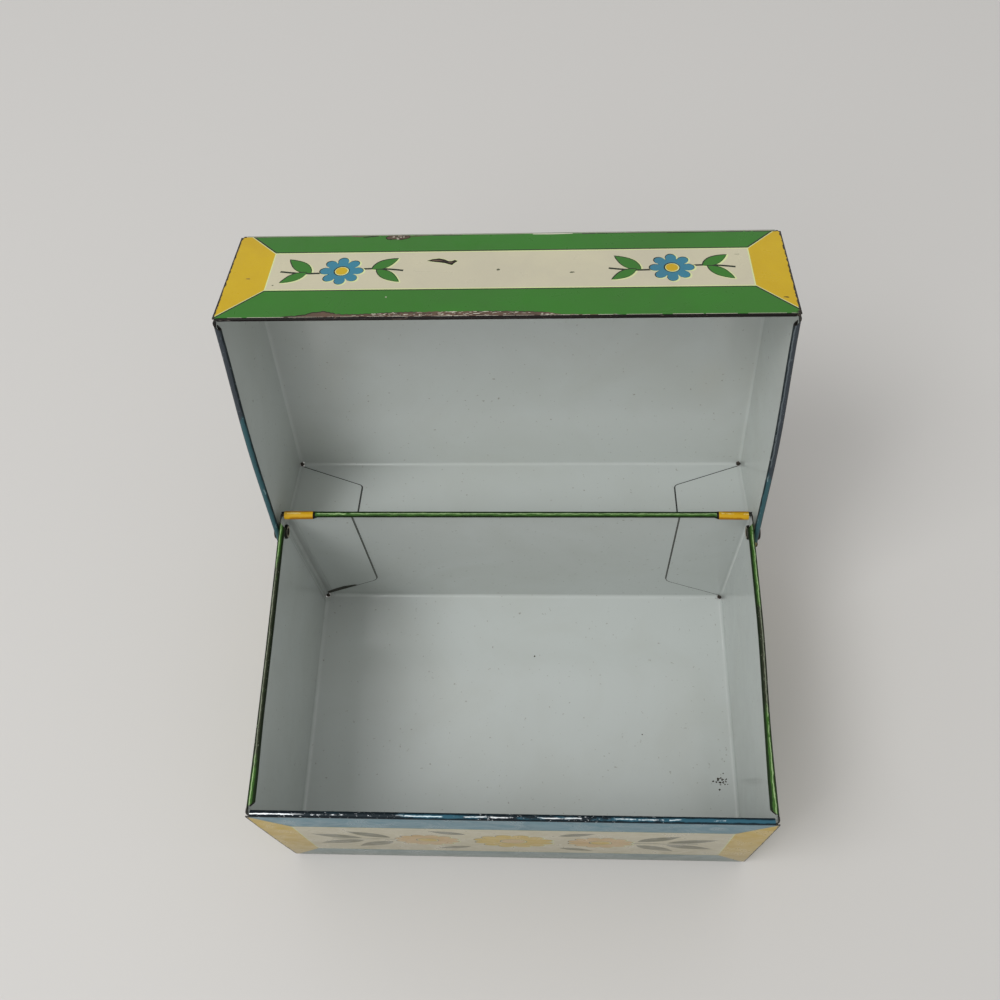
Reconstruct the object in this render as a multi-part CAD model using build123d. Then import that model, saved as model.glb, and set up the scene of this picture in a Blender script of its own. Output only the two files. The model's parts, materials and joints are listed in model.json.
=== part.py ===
from build123d import *

import os
from dataclasses import dataclass
from math import radians, tan

# Hinged tinplate box for 3 x 5 inch index cards, standing open.
#
# Two trays, each folded from one sheet of tinplate, are joined by a pair of tubular eyelets. Each tray
# has rounded folds, side walls that wrap round the upright corners as tabs, a relief notch where three
# folds meet, and a mouth curled inward into a hollow bead. Millimetres, +Z up, +X to the right of
# someone who faces the front. The origin is the centre of the base's underside.

# Sheet and folds
SHEET = 0.3  # tinplate thickness
FLOOR_BEND = 1.4  # outer radius of the folds round the base's floor
LID_TOP_BEND = 1.2  # outer radius of the folds round the lid's top
CORNER_BEND = 1.0  # outer radius of the upright fold between a side wall and its tabs
RELIEF = 0.2  # how far the corner notches reach past the folds

# Base tray, outside
BASE_WIDTH = 135.5
BASE_DEPTH = 84.0
BASE_HEIGHT = 68.5
BASE_BEAD = 1.7  # outer diameter of the curled rim
BASE_TAB_WIDTH = 20.3  # from the side wall's outer face
BASE_TAB_RISE = 15.0  # height of the tab's lower outer corner over the floor
BASE_TAB_ROUND = 4.0  # radius of that corner

# Lid tray, closed
LID_RISE = 25.3  # top of the lid over the rim of the base
LID_OVERLAP = 10.3  # how far the front skirt and the side panels reach below the rim
LID_BEAD = 1.6  # outer diameter of the curled free edge
LID_TAB_WIDTH = 21.4
LID_TAB_RISE = 9.6
LID_TAB_ROUND = 1.5
LID_FRONT_GAP = 0.5  # front bead to the base's front wall, so that the bead clears the rim as it swings
LID_SIDE_GAP = 0.3  # side beads to the base's side walls
LID_BACK_GAP = 0.3  # back bead to the base's back wall, closed and wide open
EAR_ROUND = 3.0  # rounded rear corner of each side panel, beside the eyelet

# Curled edges
CURL_TURN = 295.0  # degrees of turn from the wall to the sheet's raw edge
BEAD_END = 1.2  # where the front and back beads stop, from the side wall's outer face
MITRE_START = 2.0  # where the mitred side beads start, from the front wall's outer face
REAR_MITRE_START = 3.6  # the same at the back, beside the eyelets
RAW_EDGE_DROP = 0.4  # the plain sheet at the corners stops this far under the mouth
TAB_CLEARANCE = 0.05  # between the top of a tab and the bead that traps it

# Hinge
PIVOT_BELOW_RIM = 7.0
PIVOT_FROM_BACK = 3.6  # from the base's back face
LID_OPEN_ANGLE = 106.0  # the lid leans back on its stop at this angle
EYELET_RADIUS = 1.3  # outside of the barrel
EYELET_WALL = 0.3
EYELET_FOLD_GAP = 0.2  # between the lip's rim and the upright fold at the base's back corner
EYELET_LIP = 0.8  # height of the clenched lip inside the base
EYELET_LIP_ROUND = 0.5
EYELET_HEAD = 0.7  # thickness of the head outside the lid
EYELET_HEAD_BEVEL = 0.25
EYELET_MOUTH_ROUND = 0.28  # where the bore runs out into the head
EYELET_SEAT_CLEARANCE = 0.02  # radial, in the base's hole
EYELET_RUNNING_CLEARANCE = 0.06  # radial, in the lid's hole
EYELET_END_PLAY = 0.1  # between the head and the lid's side panel


@dataclass(frozen=True)
class Tray:
    """One folded tray in its own frame: mouth up, centred on X, front face at y = 0, floor at z = 0.

    The heights are from the floor's outer face to the top of the bead.
    """

    width: float
    depth: float
    front: float
    back: float
    side: float
    bend: float
    bead: float
    tab_width: float
    tab_rise: float
    tab_round: float
    rear_ear: float  # radius of the side walls' rear upper corners, 0 for none

    @property
    def notch(self) -> float:
        """Size of the relief notch in each corner of the floor."""
        return self.bend + RELIEF

    @property
    def fold_depth(self) -> float:
        """Distance from a front or back face to the start of the flat side wall."""
        return SHEET + CORNER_BEND

    @property
    def rear_mitre(self) -> float:
        """Distance from the back face to the end of the side beads."""
        return self.fold_depth + self.rear_ear if self.rear_ear else REAR_MITRE_START


def channel(width: float, height: float, bend: float) -> Sketch:
    """U section of sheet, open at the top, with rounded lower corners."""
    outer = Pos(0, height / 2) * Rectangle(width, height)
    outer = fillet(outer.vertices().group_by(Axis.Y)[0], bend)
    inner_height = height - SHEET
    inner = Pos(0, SHEET + inner_height / 2) * Rectangle(width - 2 * SHEET, inner_height)
    inner = fillet(inner.vertices().group_by(Axis.Y)[0], bend - SHEET)
    return outer - inner


def curl_section(bead: float, mouth: float) -> Sketch:
    """Section of a curled edge: local X points into the tray and the wall's outer face is at x = 0."""
    radius = bead / 2
    middle = CenterArc((radius, mouth - radius), radius - SHEET / 2, 180, -CURL_TURN)
    return trace(middle, SHEET)


def block(x: tuple[float, float], y: tuple[float, float], z: tuple[float, float]) -> Part:
    """Box between two limits on each axis."""
    size = [high - low for low, high in (x, y, z)]
    middle = [(high + low) / 2 for low, high in (x, y, z)]
    return Pos(*middle) * Box(*size)


def both_sides(piece: Part) -> list[Part]:
    """The piece and its mirror image across the YZ plane."""
    return [piece, mirror(piece, about=Plane.YZ)]


def front_and_back_walls(tray: Tray) -> Part:
    """Front wall, floor and back wall in one strip, notched where the side folds begin."""
    radius = tray.bead / 2
    section = Plane.YZ * (Pos(tray.depth / 2, 0) * channel(tray.depth, tray.front, tray.bend))
    strip = extrude(section, amount=tray.width / 2, both=True)
    half, low = tray.width / 2, (-1, tray.notch)
    for piece in both_sides(block((half - tray.notch, half + 1), (-1, tray.depth + 1), low)):
        strip -= piece
    middle = tray.depth / 2
    across = (-half - 1, half + 1)
    strip -= block(across, (-1, middle), (tray.front - radius, tray.front + 1))
    strip -= block(across, (middle, tray.depth + 1), (tray.back - radius, tray.front + 1))
    return strip


def side_outline(tray: Tray) -> Sketch:
    """Outline of a side wall in the YZ plane: lowered under the bead, plain sheet at the corners."""
    start, end = tray.fold_depth, tray.depth - tray.fold_depth
    bead_start, bead_end = MITRE_START, tray.depth - tray.rear_mitre
    under_bead = tray.side - tray.bead / 2
    raw_edge = tray.side - RAW_EDGE_DROP
    rear_edge = tray.side if tray.rear_ear else raw_edge
    points = [
        (start, 0),
        (start, raw_edge),
        (bead_start, raw_edge),
        (bead_start, under_bead),
        (bead_end, under_bead),
        (bead_end, rear_edge),
        (end, rear_edge),
        (end, 0),
    ]
    outline = make_face(Polyline(*points, close=True))
    if tray.rear_ear:
        rear_corner = outline.vertices().sort_by(Axis.X)[-2:].sort_by(Axis.Y)[-1]
        outline = fillet(rear_corner, tray.rear_ear - SHEET)
    return outline


def side_walls(tray: Tray) -> Part:
    """Both side walls and the floor between them in one strip."""
    section = Plane.XZ * channel(tray.width, tray.side, tray.bend)
    strip = extrude(section, amount=-tray.depth)
    strip &= extrude(Plane.YZ * side_outline(tray), amount=tray.width, both=True)
    across, low = (-tray.width, tray.width), (-1, tray.notch)
    strip -= block(across, (-1, tray.notch), low)
    strip -= block(across, (tray.depth - tray.notch, tray.depth + 1), low)
    return strip


def tab_outline(tray: Tray, wall_height: float, full_bend: bool) -> Sketch:
    """Outline of a right-hand fold and its tab in the XZ plane.

    The lower edge slants from the corner of the floor to the tab's rounded corner, and the tab's top
    lies under the bead. The bend reaches the mouth where full_bend is true.
    """
    half = tray.width / 2
    under_bead = wall_height - tray.bead - TAB_CLEARANCE
    raw_edge = wall_height - RAW_EDGE_DROP
    step = half - (CORNER_BEND + BEAD_END) / 2
    tab_end = half - tray.tab_width
    bend_top = [(half + 1, raw_edge), (step, raw_edge), (step, under_bead)]
    if not full_bend:
        bend_top = [(half + 1, under_bead)]
    points = [
        (half + 1, tray.notch),
        *bend_top,
        (tab_end, under_bead),
        (tab_end, tray.tab_rise),
        (half - CORNER_BEND, tray.notch),
    ]
    outline = make_face(Polyline(*points, close=True))
    tab_corners = outline.vertices().group_by(Axis.X)[0]
    return fillet(tab_corners.sort_by(Axis.Y)[0], tray.tab_round)


def corner_fold(tray: Tray, wall_height: float, full_bend: bool) -> Part:
    """Right-hand front corner: the side wall's sheet runs round the upright bend into the tab."""
    half = tray.width / 2
    middle = SHEET / 2
    centre = (half - CORNER_BEND, SHEET + CORNER_BEND)
    tab = Line((half - tray.tab_width, SHEET + middle), (half - CORNER_BEND, SHEET + middle))
    bend = CenterArc(centre, CORNER_BEND - middle, -90, 90)
    fold = extrude(trace(Curve() + tab + bend, SHEET), amount=wall_height)
    outline = Plane.XZ * tab_outline(tray, wall_height, full_bend)
    return fold & extrude(outline, amount=-tray.depth / 2)


def corner_folds(tray: Tray) -> list[Part]:
    """All four corner folds of a tray."""
    to_back = Plane.XZ.offset(-tray.depth / 2)
    front = corner_fold(tray, tray.front, True)
    back = mirror(corner_fold(tray, tray.back, not tray.rear_ear), about=to_back)
    return both_sides(front) + both_sides(back)


def beads(tray: Tray) -> list[Part]:
    """Curled beads along the mouth: square ends at front and back, mitred ends on the sides."""
    half = tray.width / 2
    run = half - BEAD_END
    front = extrude(Plane.YZ * curl_section(tray.bead, tray.front), amount=run, both=True)
    back = extrude(Plane.YZ * curl_section(tray.bead, tray.back), amount=run, both=True)
    back = mirror(back, about=Plane.XZ.offset(-tray.depth / 2))
    left = extrude(Plane.XZ * curl_section(tray.bead, tray.side), amount=-tray.depth)
    left = Pos(-half, 0, 0) * left
    start, end = MITRE_START, tray.depth - tray.rear_mitre
    inner = -half + tray.bead
    mitred = [(-half, start), (inner, start + tray.bead), (inner, end - tray.bead), (-half, end)]
    left &= extrude(make_face(Polyline(*mitred, close=True)), amount=tray.side + 1)
    return [front, back] + both_sides(left)


def fold_tray(tray: Tray) -> Part:
    """The whole tray as one solid: walls, folds, tabs and beads."""
    pieces = [front_and_back_walls(tray), side_walls(tray)] + corner_folds(tray) + beads(tray)
    return Part() + pieces


def eyelet_section(grip: float, rim: float) -> Sketch:
    """Section of an eyelet: local X runs along the axis, local Y is the radius.

    The rounded lip meets the base's sheet at x = 0, and the bevelled head faces the lid's at x = grip.
    Both reach out to the rim's radius.
    """
    bore, reach = EYELET_RADIUS - EYELET_WALL, grip + EYELET_HEAD
    points = [
        (-EYELET_LIP, rim),
        (-EYELET_LIP, bore),
        (reach, bore),
        (reach, rim),
        (grip, rim),
        (grip, EYELET_RADIUS),
        (0, EYELET_RADIUS),
        (0, rim),
    ]
    section = make_face(Polyline(*points, close=True))
    widest_round = 0.45 * (rim - bore)
    section = fillet(section.vertices().group_by(Axis.X)[0], min(EYELET_LIP_ROUND, widest_round))
    head_mouth = section.vertices().group_by(Axis.X)[-1].sort_by(Axis.Y)[0]
    section = fillet(head_mouth, EYELET_MOUTH_ROUND)
    head_rim = section.vertices().group_by(Axis.X)[-1].sort_by(Axis.Y)[-1]
    return chamfer(head_rim, EYELET_HEAD_BEVEL)


def hinge_eyelet(pivot_y: float, pivot_z: float) -> Part:
    """Right-hand eyelet: its lip and head clasp the base's side wall and the lid's side panel."""
    inner_face = BASE_WIDTH / 2 - SHEET
    lid_face = BASE_WIDTH / 2 + LID_SIDE_GAP + LID_BEAD
    rim = PIVOT_FROM_BACK - SHEET - CORNER_BEND - EYELET_FOLD_GAP
    section = Pos(inner_face, 0) * eyelet_section(lid_face + EYELET_END_PLAY - inner_face, rim)
    solid = revolve(section, axis=Axis.X)
    return Pos(0, pivot_y, pivot_z) * solid


def cross_hole(radius: float, pivot_y: float, pivot_z: float) -> Part:
    """Cutter for a pair of pivot holes, right through both side walls."""
    return Pos(0, pivot_y, pivot_z) * Rot(0, 90, 0) * Cylinder(radius, 2 * BASE_WIDTH)


def build() -> dict[str, Part]:
    """All pieces in the box's own frame, with the lid open."""
    pivot_y = BASE_DEPTH / 2 - PIVOT_FROM_BACK
    pivot_z = BASE_HEIGHT - PIVOT_BELOW_RIM
    base_tray = Tray(
        width=BASE_WIDTH,
        depth=BASE_DEPTH,
        front=BASE_HEIGHT,
        back=BASE_HEIGHT,
        side=BASE_HEIGHT,
        bend=FLOOR_BEND,
        bead=BASE_BEAD,
        tab_width=BASE_TAB_WIDTH,
        tab_rise=BASE_TAB_RISE,
        tab_round=BASE_TAB_ROUND,
        rear_ear=0,
    )
    base = Pos(0, -BASE_DEPTH / 2, 0) * fold_tray(base_tray)
    base -= cross_hole(EYELET_RADIUS + EYELET_SEAT_CLEARANCE, pivot_y, pivot_z)

    # The back skirt's bead stands as far from the base's back wall closed as it does wide open, so it
    # turns half the opening angle either side of the level of the pivot.
    bead_from_pivot = PIVOT_FROM_BACK + LID_BACK_GAP + LID_BEAD / 2
    bead_over_pivot = bead_from_pivot * tan(radians(LID_OPEN_ANGLE / 2))
    lid_top = BASE_HEIGHT + LID_RISE
    front_skirt = LID_RISE + LID_OVERLAP
    front_reach = LID_FRONT_GAP + LID_BEAD
    lid_tray = Tray(
        width=BASE_WIDTH + 2 * (LID_SIDE_GAP + LID_BEAD),
        depth=BASE_DEPTH + front_reach + LID_BACK_GAP + LID_BEAD,
        front=front_skirt,
        back=lid_top - pivot_z - bead_over_pivot + LID_BEAD / 2,
        side=front_skirt,
        bend=LID_TOP_BEND,
        bead=LID_BEAD,
        tab_width=LID_TAB_WIDTH,
        tab_rise=LID_TAB_RISE,
        tab_round=LID_TAB_ROUND,
        rear_ear=EAR_ROUND,
    )
    mouth_down = mirror(fold_tray(lid_tray), about=Plane.XY)
    lid = Pos(0, -BASE_DEPTH / 2 - front_reach, lid_top) * mouth_down
    lid -= cross_hole(EYELET_RADIUS + EYELET_RUNNING_CLEARANCE, pivot_y, pivot_z)
    hinge_line = Axis((0, pivot_y, pivot_z), (1, 0, 0))
    lid = lid.rotate(hinge_line, -LID_OPEN_ANGLE)

    right_eyelet = hinge_eyelet(pivot_y, pivot_z)
    return {
        "base_tray": base,
        "lid_tray": lid,
        "hinge_eyelet_left": mirror(right_eyelet, about=Plane.YZ),
        "hinge_eyelet_right": right_eyelet,
    }


os.makedirs("parts", exist_ok=True)
for name, piece in build().items():
    export_step(piece, f"parts/{name}.step")
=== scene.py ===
import json
import logging
import math
from dataclasses import dataclass, field
from enum import Enum
from functools import cached_property
from random import Random
from typing import Iterable, Sequence

import bmesh
import bpy
from mathutils import Matrix, Vector
from mathutils.geometry import delaunay_2d_cdt


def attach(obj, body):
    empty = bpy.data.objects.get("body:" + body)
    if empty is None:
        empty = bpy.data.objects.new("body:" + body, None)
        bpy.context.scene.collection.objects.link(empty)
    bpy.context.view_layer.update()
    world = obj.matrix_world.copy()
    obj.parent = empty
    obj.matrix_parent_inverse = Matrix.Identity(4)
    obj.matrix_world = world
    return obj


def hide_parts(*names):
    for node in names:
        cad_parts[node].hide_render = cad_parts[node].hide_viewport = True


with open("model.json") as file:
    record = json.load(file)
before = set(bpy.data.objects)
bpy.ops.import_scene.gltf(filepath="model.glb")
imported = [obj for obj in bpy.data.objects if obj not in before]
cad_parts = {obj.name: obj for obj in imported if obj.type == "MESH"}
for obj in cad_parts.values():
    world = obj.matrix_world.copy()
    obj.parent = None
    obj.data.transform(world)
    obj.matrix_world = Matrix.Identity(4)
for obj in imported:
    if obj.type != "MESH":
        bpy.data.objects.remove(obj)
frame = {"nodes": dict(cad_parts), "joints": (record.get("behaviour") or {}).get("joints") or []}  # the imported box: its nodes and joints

# A small tinplate box for index cards: two trays, each folded from one printed sheet, and the pair of
# eyelets that hinges them. Each tray's packed form is copied, its printed design is cut into the sheet
# as real outlines, and the sheet gets the slight bow and the wear of an old box.
#
# A tray is drawn in its own frame, in millimetres: the row frame for the base, and the row frame with
# the lid shut for the lid.

LOG = logging.getLogger("card_box")

MM = 0.001  # metres in a millimetre
SHEET = 0.3  # thickness of the tinplate
WELD = 0.002  # corners nearer than this are one corner
ON_PLANE = 0.01  # a face this near a plane lies on it
SAME_WAY = 0.9999  # cosine between two directions that count as one
SHARP_FOLD = math.radians(38)  # an edge that turns by more is drawn sharp
GRID = 7.0  # spacing of the cuts that let the sheet bow
UNPRINTED = 99  # the finish number of a face that no drawing has reached yet


class Ink(Enum):
    """Each finish that a face of a tray can carry."""

    GREEN = "green_ink"
    BLUE = "blue_ink"
    YELLOW = "yellow_ink"
    ORANGE = "orange_ink"
    CREAM = "cream_ink"
    HALO = "pale_halo_ink"
    KEYLINE = "dark_keyline_ink"
    OLIVE = "olive_ink"
    PRIMER = "brown_primer"
    CHIP = "pale_chip_and_glint"
    GREEN_RIM = "green_rim"
    BLUE_RIM = "blue_rim"
    YELLOW_RIM = "yellow_rim"
    SLATE_RIM = "slate_rim"
    DARK_RIM = "dark_rim"
    ENAMEL = "white_enamel"
    # Dark dirt in seams and corners, also used as painted shade inside the curls, at their open ends and under the tab
    # edges.
    SEAM = "seam_dirt_and_shade"
    RUST = "rust_speck"
    TIN = "lacquered_tin"
    EDGE = "cut_edge"


class Side(Enum):
    """The flat sides of a tray, each with its outward direction."""

    FRONT = (0, -1, 0)
    BACK = (0, 1, 0)
    LEFT = (-1, 0, 0)
    RIGHT = (1, 0, 0)
    TOP = (0, 0, 1)
    BOTTOM = (0, 0, -1)


WALLS = (Side.FRONT, Side.BACK, Side.LEFT, Side.RIGHT)


class Corner(Enum):
    """How the end bands of a printed border meet its long bands."""

    MITRED = "mitred"
    BUTT = "butt"


# ---------------------------------------------------------------------------------------------------
# Printed outlines
# ---------------------------------------------------------------------------------------------------


@dataclass(frozen=True)
class Shape:
    """One printed outline, closed, in the plane of its side."""

    outline: tuple[Vector, ...]
    ink: Ink

    @cached_property
    def limits(self) -> tuple[float, float, float, float]:
        """The outline's least and greatest places, across and up."""
        across, up = [corner.x for corner in self.outline], [corner.y for corner in self.outline]
        return min(across), max(across), min(up), max(up)

    def holds(self, point: Vector) -> bool:
        """Whether the outline goes round a point.

        Args:
            point: the point, in the plane of the side.

        Returns:
            True inside the outline.
        """
        left, right, low, high = self.limits
        if not (left <= point.x <= right and low <= point.y <= high):
            return False
        inside = False
        before = self.outline[-1]
        for corner in self.outline:
            if (corner.y > point.y) != (before.y > point.y):
                across = corner.x + (point.y - corner.y) * (before.x - corner.x) / (before.y - corner.y)
                if point.x < across:
                    inside = not inside
            before = corner
        return inside


def polygon(points: Iterable[Sequence[float]], ink: Ink) -> Shape:
    """A shape from its corners.

    Args:
        points: the corners in order.
        ink: the ink inside.

    Returns:
        The shape.
    """
    return Shape(tuple(Vector(point) for point in points), ink)


def grown(shape: Shape, by: float, ink: Ink, shift: Sequence[float] = (0.0, 0.0)) -> Shape:
    """A copy of a smooth shape with its outline moved outward.

    Args:
        shape: the shape, anticlockwise.
        by: how far the outline moves.
        ink: the ink of the copy.
        shift: how far the copy is out of register.

    Returns:
        The larger shape.
    """
    count = len(shape.outline)
    moved = []
    for index, corner in enumerate(shape.outline):
        along = shape.outline[(index + 1) % count] - shape.outline[index - 1]
        outward = Vector((along.y, -along.x)).normalized()
        moved.append(corner + outward * by + Vector(shift))
    return Shape(tuple(moved), ink)


def stroke(points: Sequence[Sequence[float]], width: float, ink: Ink) -> Shape:
    """A line of even width along a path.

    Args:
        points: the path.
        width: the width of the line.
        ink: its ink.

    Returns:
        The line as a closed shape.
    """
    path = [Vector(point) for point in points]
    left, right = [], []
    for index, point in enumerate(path):
        along = path[min(index + 1, len(path) - 1)] - path[max(index - 1, 0)]
        aside = Vector((-along.y, along.x)).normalized() * width / 2
        left.append(point + aside)
        right.append(point - aside)
    return Shape(tuple(right + left[::-1]), ink)


def blot(centre: Sequence[float], size: Sequence[float], ink: Ink, seed: int, rough: float = 0.35, steps: int = 28) -> Shape:
    """A ragged spot, as a chip or a fleck of rust leaves it.

    Args:
        centre: its middle.
        size: its half width and half height.
        ink: what shows in it.
        seed: which ragged outline it gets.
        rough: how far its outline strays, as a share of its size.
        steps: how many corners it has.

    Returns:
        The spot.
    """
    draw = Random(seed)
    waves = [(turn, draw.uniform(0, math.tau), draw.uniform(0.3, 1.0) / turn) for turn in (2, 3, 5, 7, 11)]
    corners = []
    for step in range(steps):
        angle = math.tau * step / steps
        reach = 1 + rough * sum(share * math.sin(turn * angle + phase) for turn, phase, share in waves)
        corners.append((centre[0] + size[0] * reach * math.cos(angle), centre[1] + size[1] * reach * math.sin(angle)))
    return polygon(corners, ink)


@dataclass(frozen=True)
class Leaf:
    """A pointed leaf with one full side."""

    root: tuple[float, float]
    tip: tuple[float, float]
    fullness: tuple[float, float]
    ink: Ink = Ink.GREEN
    steps: int = 12

    def shapes(self) -> list[Shape]:
        """The leaf with its dark outline and its pale halo."""
        root, tip = Vector(self.root), Vector(self.tip)
        along = tip - root
        aside = Vector((-along.y, along.x))
        right, left = [], []
        for step in range(self.steps + 1):
            share = step / self.steps
            swell = math.sin(math.pi * share ** 0.85)
            middle = root + along * share
            right.append(middle - aside * self.fullness[0] * swell)
            if 0 < step < self.steps:
                left.append(middle + aside * self.fullness[1] * swell)
        leaf = Shape(tuple(right + left[::-1]), self.ink)
        return [grown(leaf, 0.4, Ink.HALO, (0.2, -0.14)), grown(leaf, 0.24, Ink.KEYLINE, (-0.07, 0.07)), leaf]


@dataclass(frozen=True)
class Blossom:
    """An open flower with round-ended petals and a round eye."""

    centre: tuple[float, float]
    radius: float
    petals: int = 8
    ink: Ink = Ink.BLUE
    eye: Ink = Ink.YELLOW
    turn: float = 0.0
    depth: float = 0.42
    eye_share: float = 0.28

    def ring(self, reach: float, depth: float, ink: Ink) -> Shape:
        """A closed outline about the flower's centre.

        Args:
            reach: its largest radius.
            depth: how far it draws in between two petals, as a share of the radius.
            ink: its ink.

        Returns:
            The outline.
        """
        corners = []
        count = self.petals * 12
        for step in range(count):
            angle = math.tau * step / count
            notch = 1 - abs(math.sin(self.petals * (angle - self.turn) / 2)) ** 0.55
            distance = reach * (1 - depth * notch)
            corners.append((self.centre[0] + distance * math.cos(angle), self.centre[1] + distance * math.sin(angle)))
        return polygon(corners, ink)

    def shapes(self) -> list[Shape]:
        """The flower with its outline, its halo and its eye."""
        petals = self.ring(self.radius, self.depth, self.ink)
        halo = self.moved(self.ring(self.radius + 0.4, self.depth * 0.9, Ink.HALO), (0.2, -0.14))
        outline = self.moved(self.ring(self.radius + 0.22, self.depth * 0.98, Ink.KEYLINE), (-0.07, 0.07))
        eye_line = self.ring(self.radius * self.eye_share + 0.5, 0.0, Ink.KEYLINE)
        eye_halo = self.moved(self.ring(self.radius * self.eye_share + 0.22, 0.0, Ink.HALO), (0.07, -0.05))
        eye = self.ring(self.radius * self.eye_share, 0.0, self.eye)
        return [halo, outline, petals, eye_line, eye_halo, eye]

    @staticmethod
    def moved(shape: Shape, by: Sequence[float]) -> Shape:
        """A copy of an outline that is printed out of register."""
        return Shape(tuple(corner + Vector(by) for corner in shape.outline), shape.ink)


@dataclass(frozen=True)
class Sprig:
    """A flower on a level stem, with a pair of leaves to each side of it."""

    centre: tuple[float, float]
    scale: float = 1.0
    reach: float = 15.5
    ink: Ink = Ink.BLUE
    eye: Ink = Ink.YELLOW
    petals: int = 8

    def at(self, along: float, across: float) -> tuple[float, float]:
        """A point of the sprig, scaled about its flower."""
        return (self.centre[0] + along * self.scale, self.centre[1] + across * self.scale)

    def shapes(self) -> list[Shape]:
        """The whole sprig, lowest layer first."""
        halos, parts = [], []
        for way in (-1, 1):
            wave = [self.at(way * self.reach * s / 8, way * 0.9 * math.sin(math.pi * s / 8)) for s in range(9)]
            parts.append(stroke(wave, 0.66 * self.scale, Ink.KEYLINE))
            upper = Leaf(self.at(way * 7.6, way * 0.7), self.at(way * 13.8, 5.0), (0.2, 0.2))
            lower = Leaf(self.at(way * 8.8, way * 0.5), self.at(way * 14.8, -4.6), (0.18, 0.18))
            for leaf in (upper.shapes(), lower.shapes()):
                halos.append(leaf[0])
                parts += leaf[1:]
        blossom = Blossom(self.centre, 5.4 * self.scale, self.petals, self.ink, self.eye, math.pi / 8)
        return halos + parts + blossom.shapes()


@dataclass(frozen=True)
class Border:
    """A frame of printed bands round a plain panel, in the plane of one side.

    The sizes are from the edges of the side to the panel.
    """

    low: float
    high: float
    ends: float
    band: Ink
    end: Ink
    corner: Corner = Corner.MITRED
    square: bool = False  # the mitres run at 45 degrees and not to the outer corners
    panel: Ink = Ink.CREAM
    aside: float = 0.0  # how far the panel is printed off the middle

    def shapes(self, half: float, bottom: float, top: float) -> list[Shape]:
        """The bands, the panel, and the fine lines where two inks meet.

        Args:
            half: half the width of the side.
            bottom: the side's lower edge.
            top: its upper edge.

        Returns:
            The shapes, lowest layer first.
        """
        inner, low, high = half - self.ends, bottom + self.low, top - self.high
        past = half + 3.0
        parts = [polygon([(-past, bottom - 3), (past, bottom - 3), (past, top + 3), (-past, top + 3)], self.band)]
        for way in (-1, 1):
            start = way * inner + self.aside
            run = abs(way * past - start)
            drop = run if self.square else self.low * run / self.ends
            rise = run if self.square else self.high * run / self.ends
            lower, upper = (start, low), (start, high)
            outer_low, outer_high = (way * past, low - drop), (way * past, high + rise)
            if self.corner is Corner.BUTT:
                lower, upper = (start, bottom - 3), (start, top + 3)
                outer_low, outer_high = (way * past, bottom - 3), (way * past, top + 3)
            parts.append(polygon([lower, outer_low, outer_high, upper], self.end))
            for line, side in (((lower, outer_low), -1), ((upper, outer_high), 1)):
                if self.corner is Corner.BUTT:
                    line, off = (lower, upper), Vector((-way, 0))
                else:
                    off = Vector((0, side))
                parts += self.joint(line, off)
        parts.append(self.rectangle(inner, high - 0.1, high + 0.38, Ink.KEYLINE, self.aside))
        parts.append(self.rectangle(inner, low - 0.34, low + 0.1, Ink.KEYLINE, self.aside))
        parts.append(self.rectangle(inner + 0.1, low, high, Ink.HALO, self.aside))
        parts.append(self.rectangle(inner - 0.2, low + 0.36, high - 0.36, self.panel, self.aside))
        return parts

    @staticmethod
    def joint(line: Sequence[Sequence[float]], off: Vector) -> list[Shape]:
        """Where two bands meet: a dark line, and a pale one where the inks are out of register.

        Args:
            line: the ends of the joint.
            off: the way from it to the darker ink.

        Returns:
            The two lines.
        """
        dark = [Vector(end) + off * 0.2 for end in line]
        pale = [Vector(end) - off * 0.16 for end in line]
        return [stroke(pale, 0.3, Ink.HALO), stroke(dark, 0.4, Ink.KEYLINE)]

    @staticmethod
    def rectangle(half: float, low: float, high: float, ink: Ink, aside: float) -> Shape:
        """A level rectangle about an upright line, which may be off the side's middle."""
        left, right = aside - half, aside + half
        return polygon([(left, low), (right, low), (right, high), (left, high)], ink)


@dataclass
class Drawing:
    """Everything printed on one flat side, lowest layer first."""

    ground: Ink
    shapes: list[Shape] = field(default_factory=list)

    def ink_at(self, point: Vector) -> Ink:
        """The ink on top at a point.

        Args:
            point: the point, in the plane of the side.

        Returns:
            Its ink.
        """
        for shape in reversed(self.shapes):
            if shape.holds(point):
                return shape.ink
        return self.ground


@dataclass(frozen=True)
class Flat:
    """A plane of the sheet, with the two directions in which it is drawn."""

    normal: Vector
    offset: float
    right: Vector
    up: Vector

    @classmethod
    def of(cls, side: Side, offset: float, inner: bool = False) -> "Flat":
        """The plane of one side of a tray.

        Args:
            side: the side.
            offset: the plane's distance from the origin, along the side's outward direction.
            inner: True for the face that looks into the tray.

        Returns:
            The plane, drawn as someone sees it who looks at it.
        """
        outward = Vector(side.value)
        normal = -outward if inner else outward
        up = Vector((0, 1, 0)) if side in (Side.TOP, Side.BOTTOM) else Vector((0, 0, 1))
        return cls(normal, -offset if inner else offset, up.cross(normal), up)

    def holds(self, face: bmesh.types.BMFace) -> bool:
        """Whether a face lies on this plane and looks the same way."""
        level = face.calc_center_median().dot(self.normal) - self.offset
        return face.normal.dot(self.normal) > SAME_WAY and abs(level) < ON_PLANE

    def flatten(self, point: Vector) -> Vector:
        """The point in the plane's own two directions."""
        return Vector((point.dot(self.right), point.dot(self.up)))

    def lift(self, point: Vector) -> Vector:
        """The place in the tray of a point of the plane."""
        return self.right * point.x + self.up * point.y + self.normal * self.offset


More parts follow.
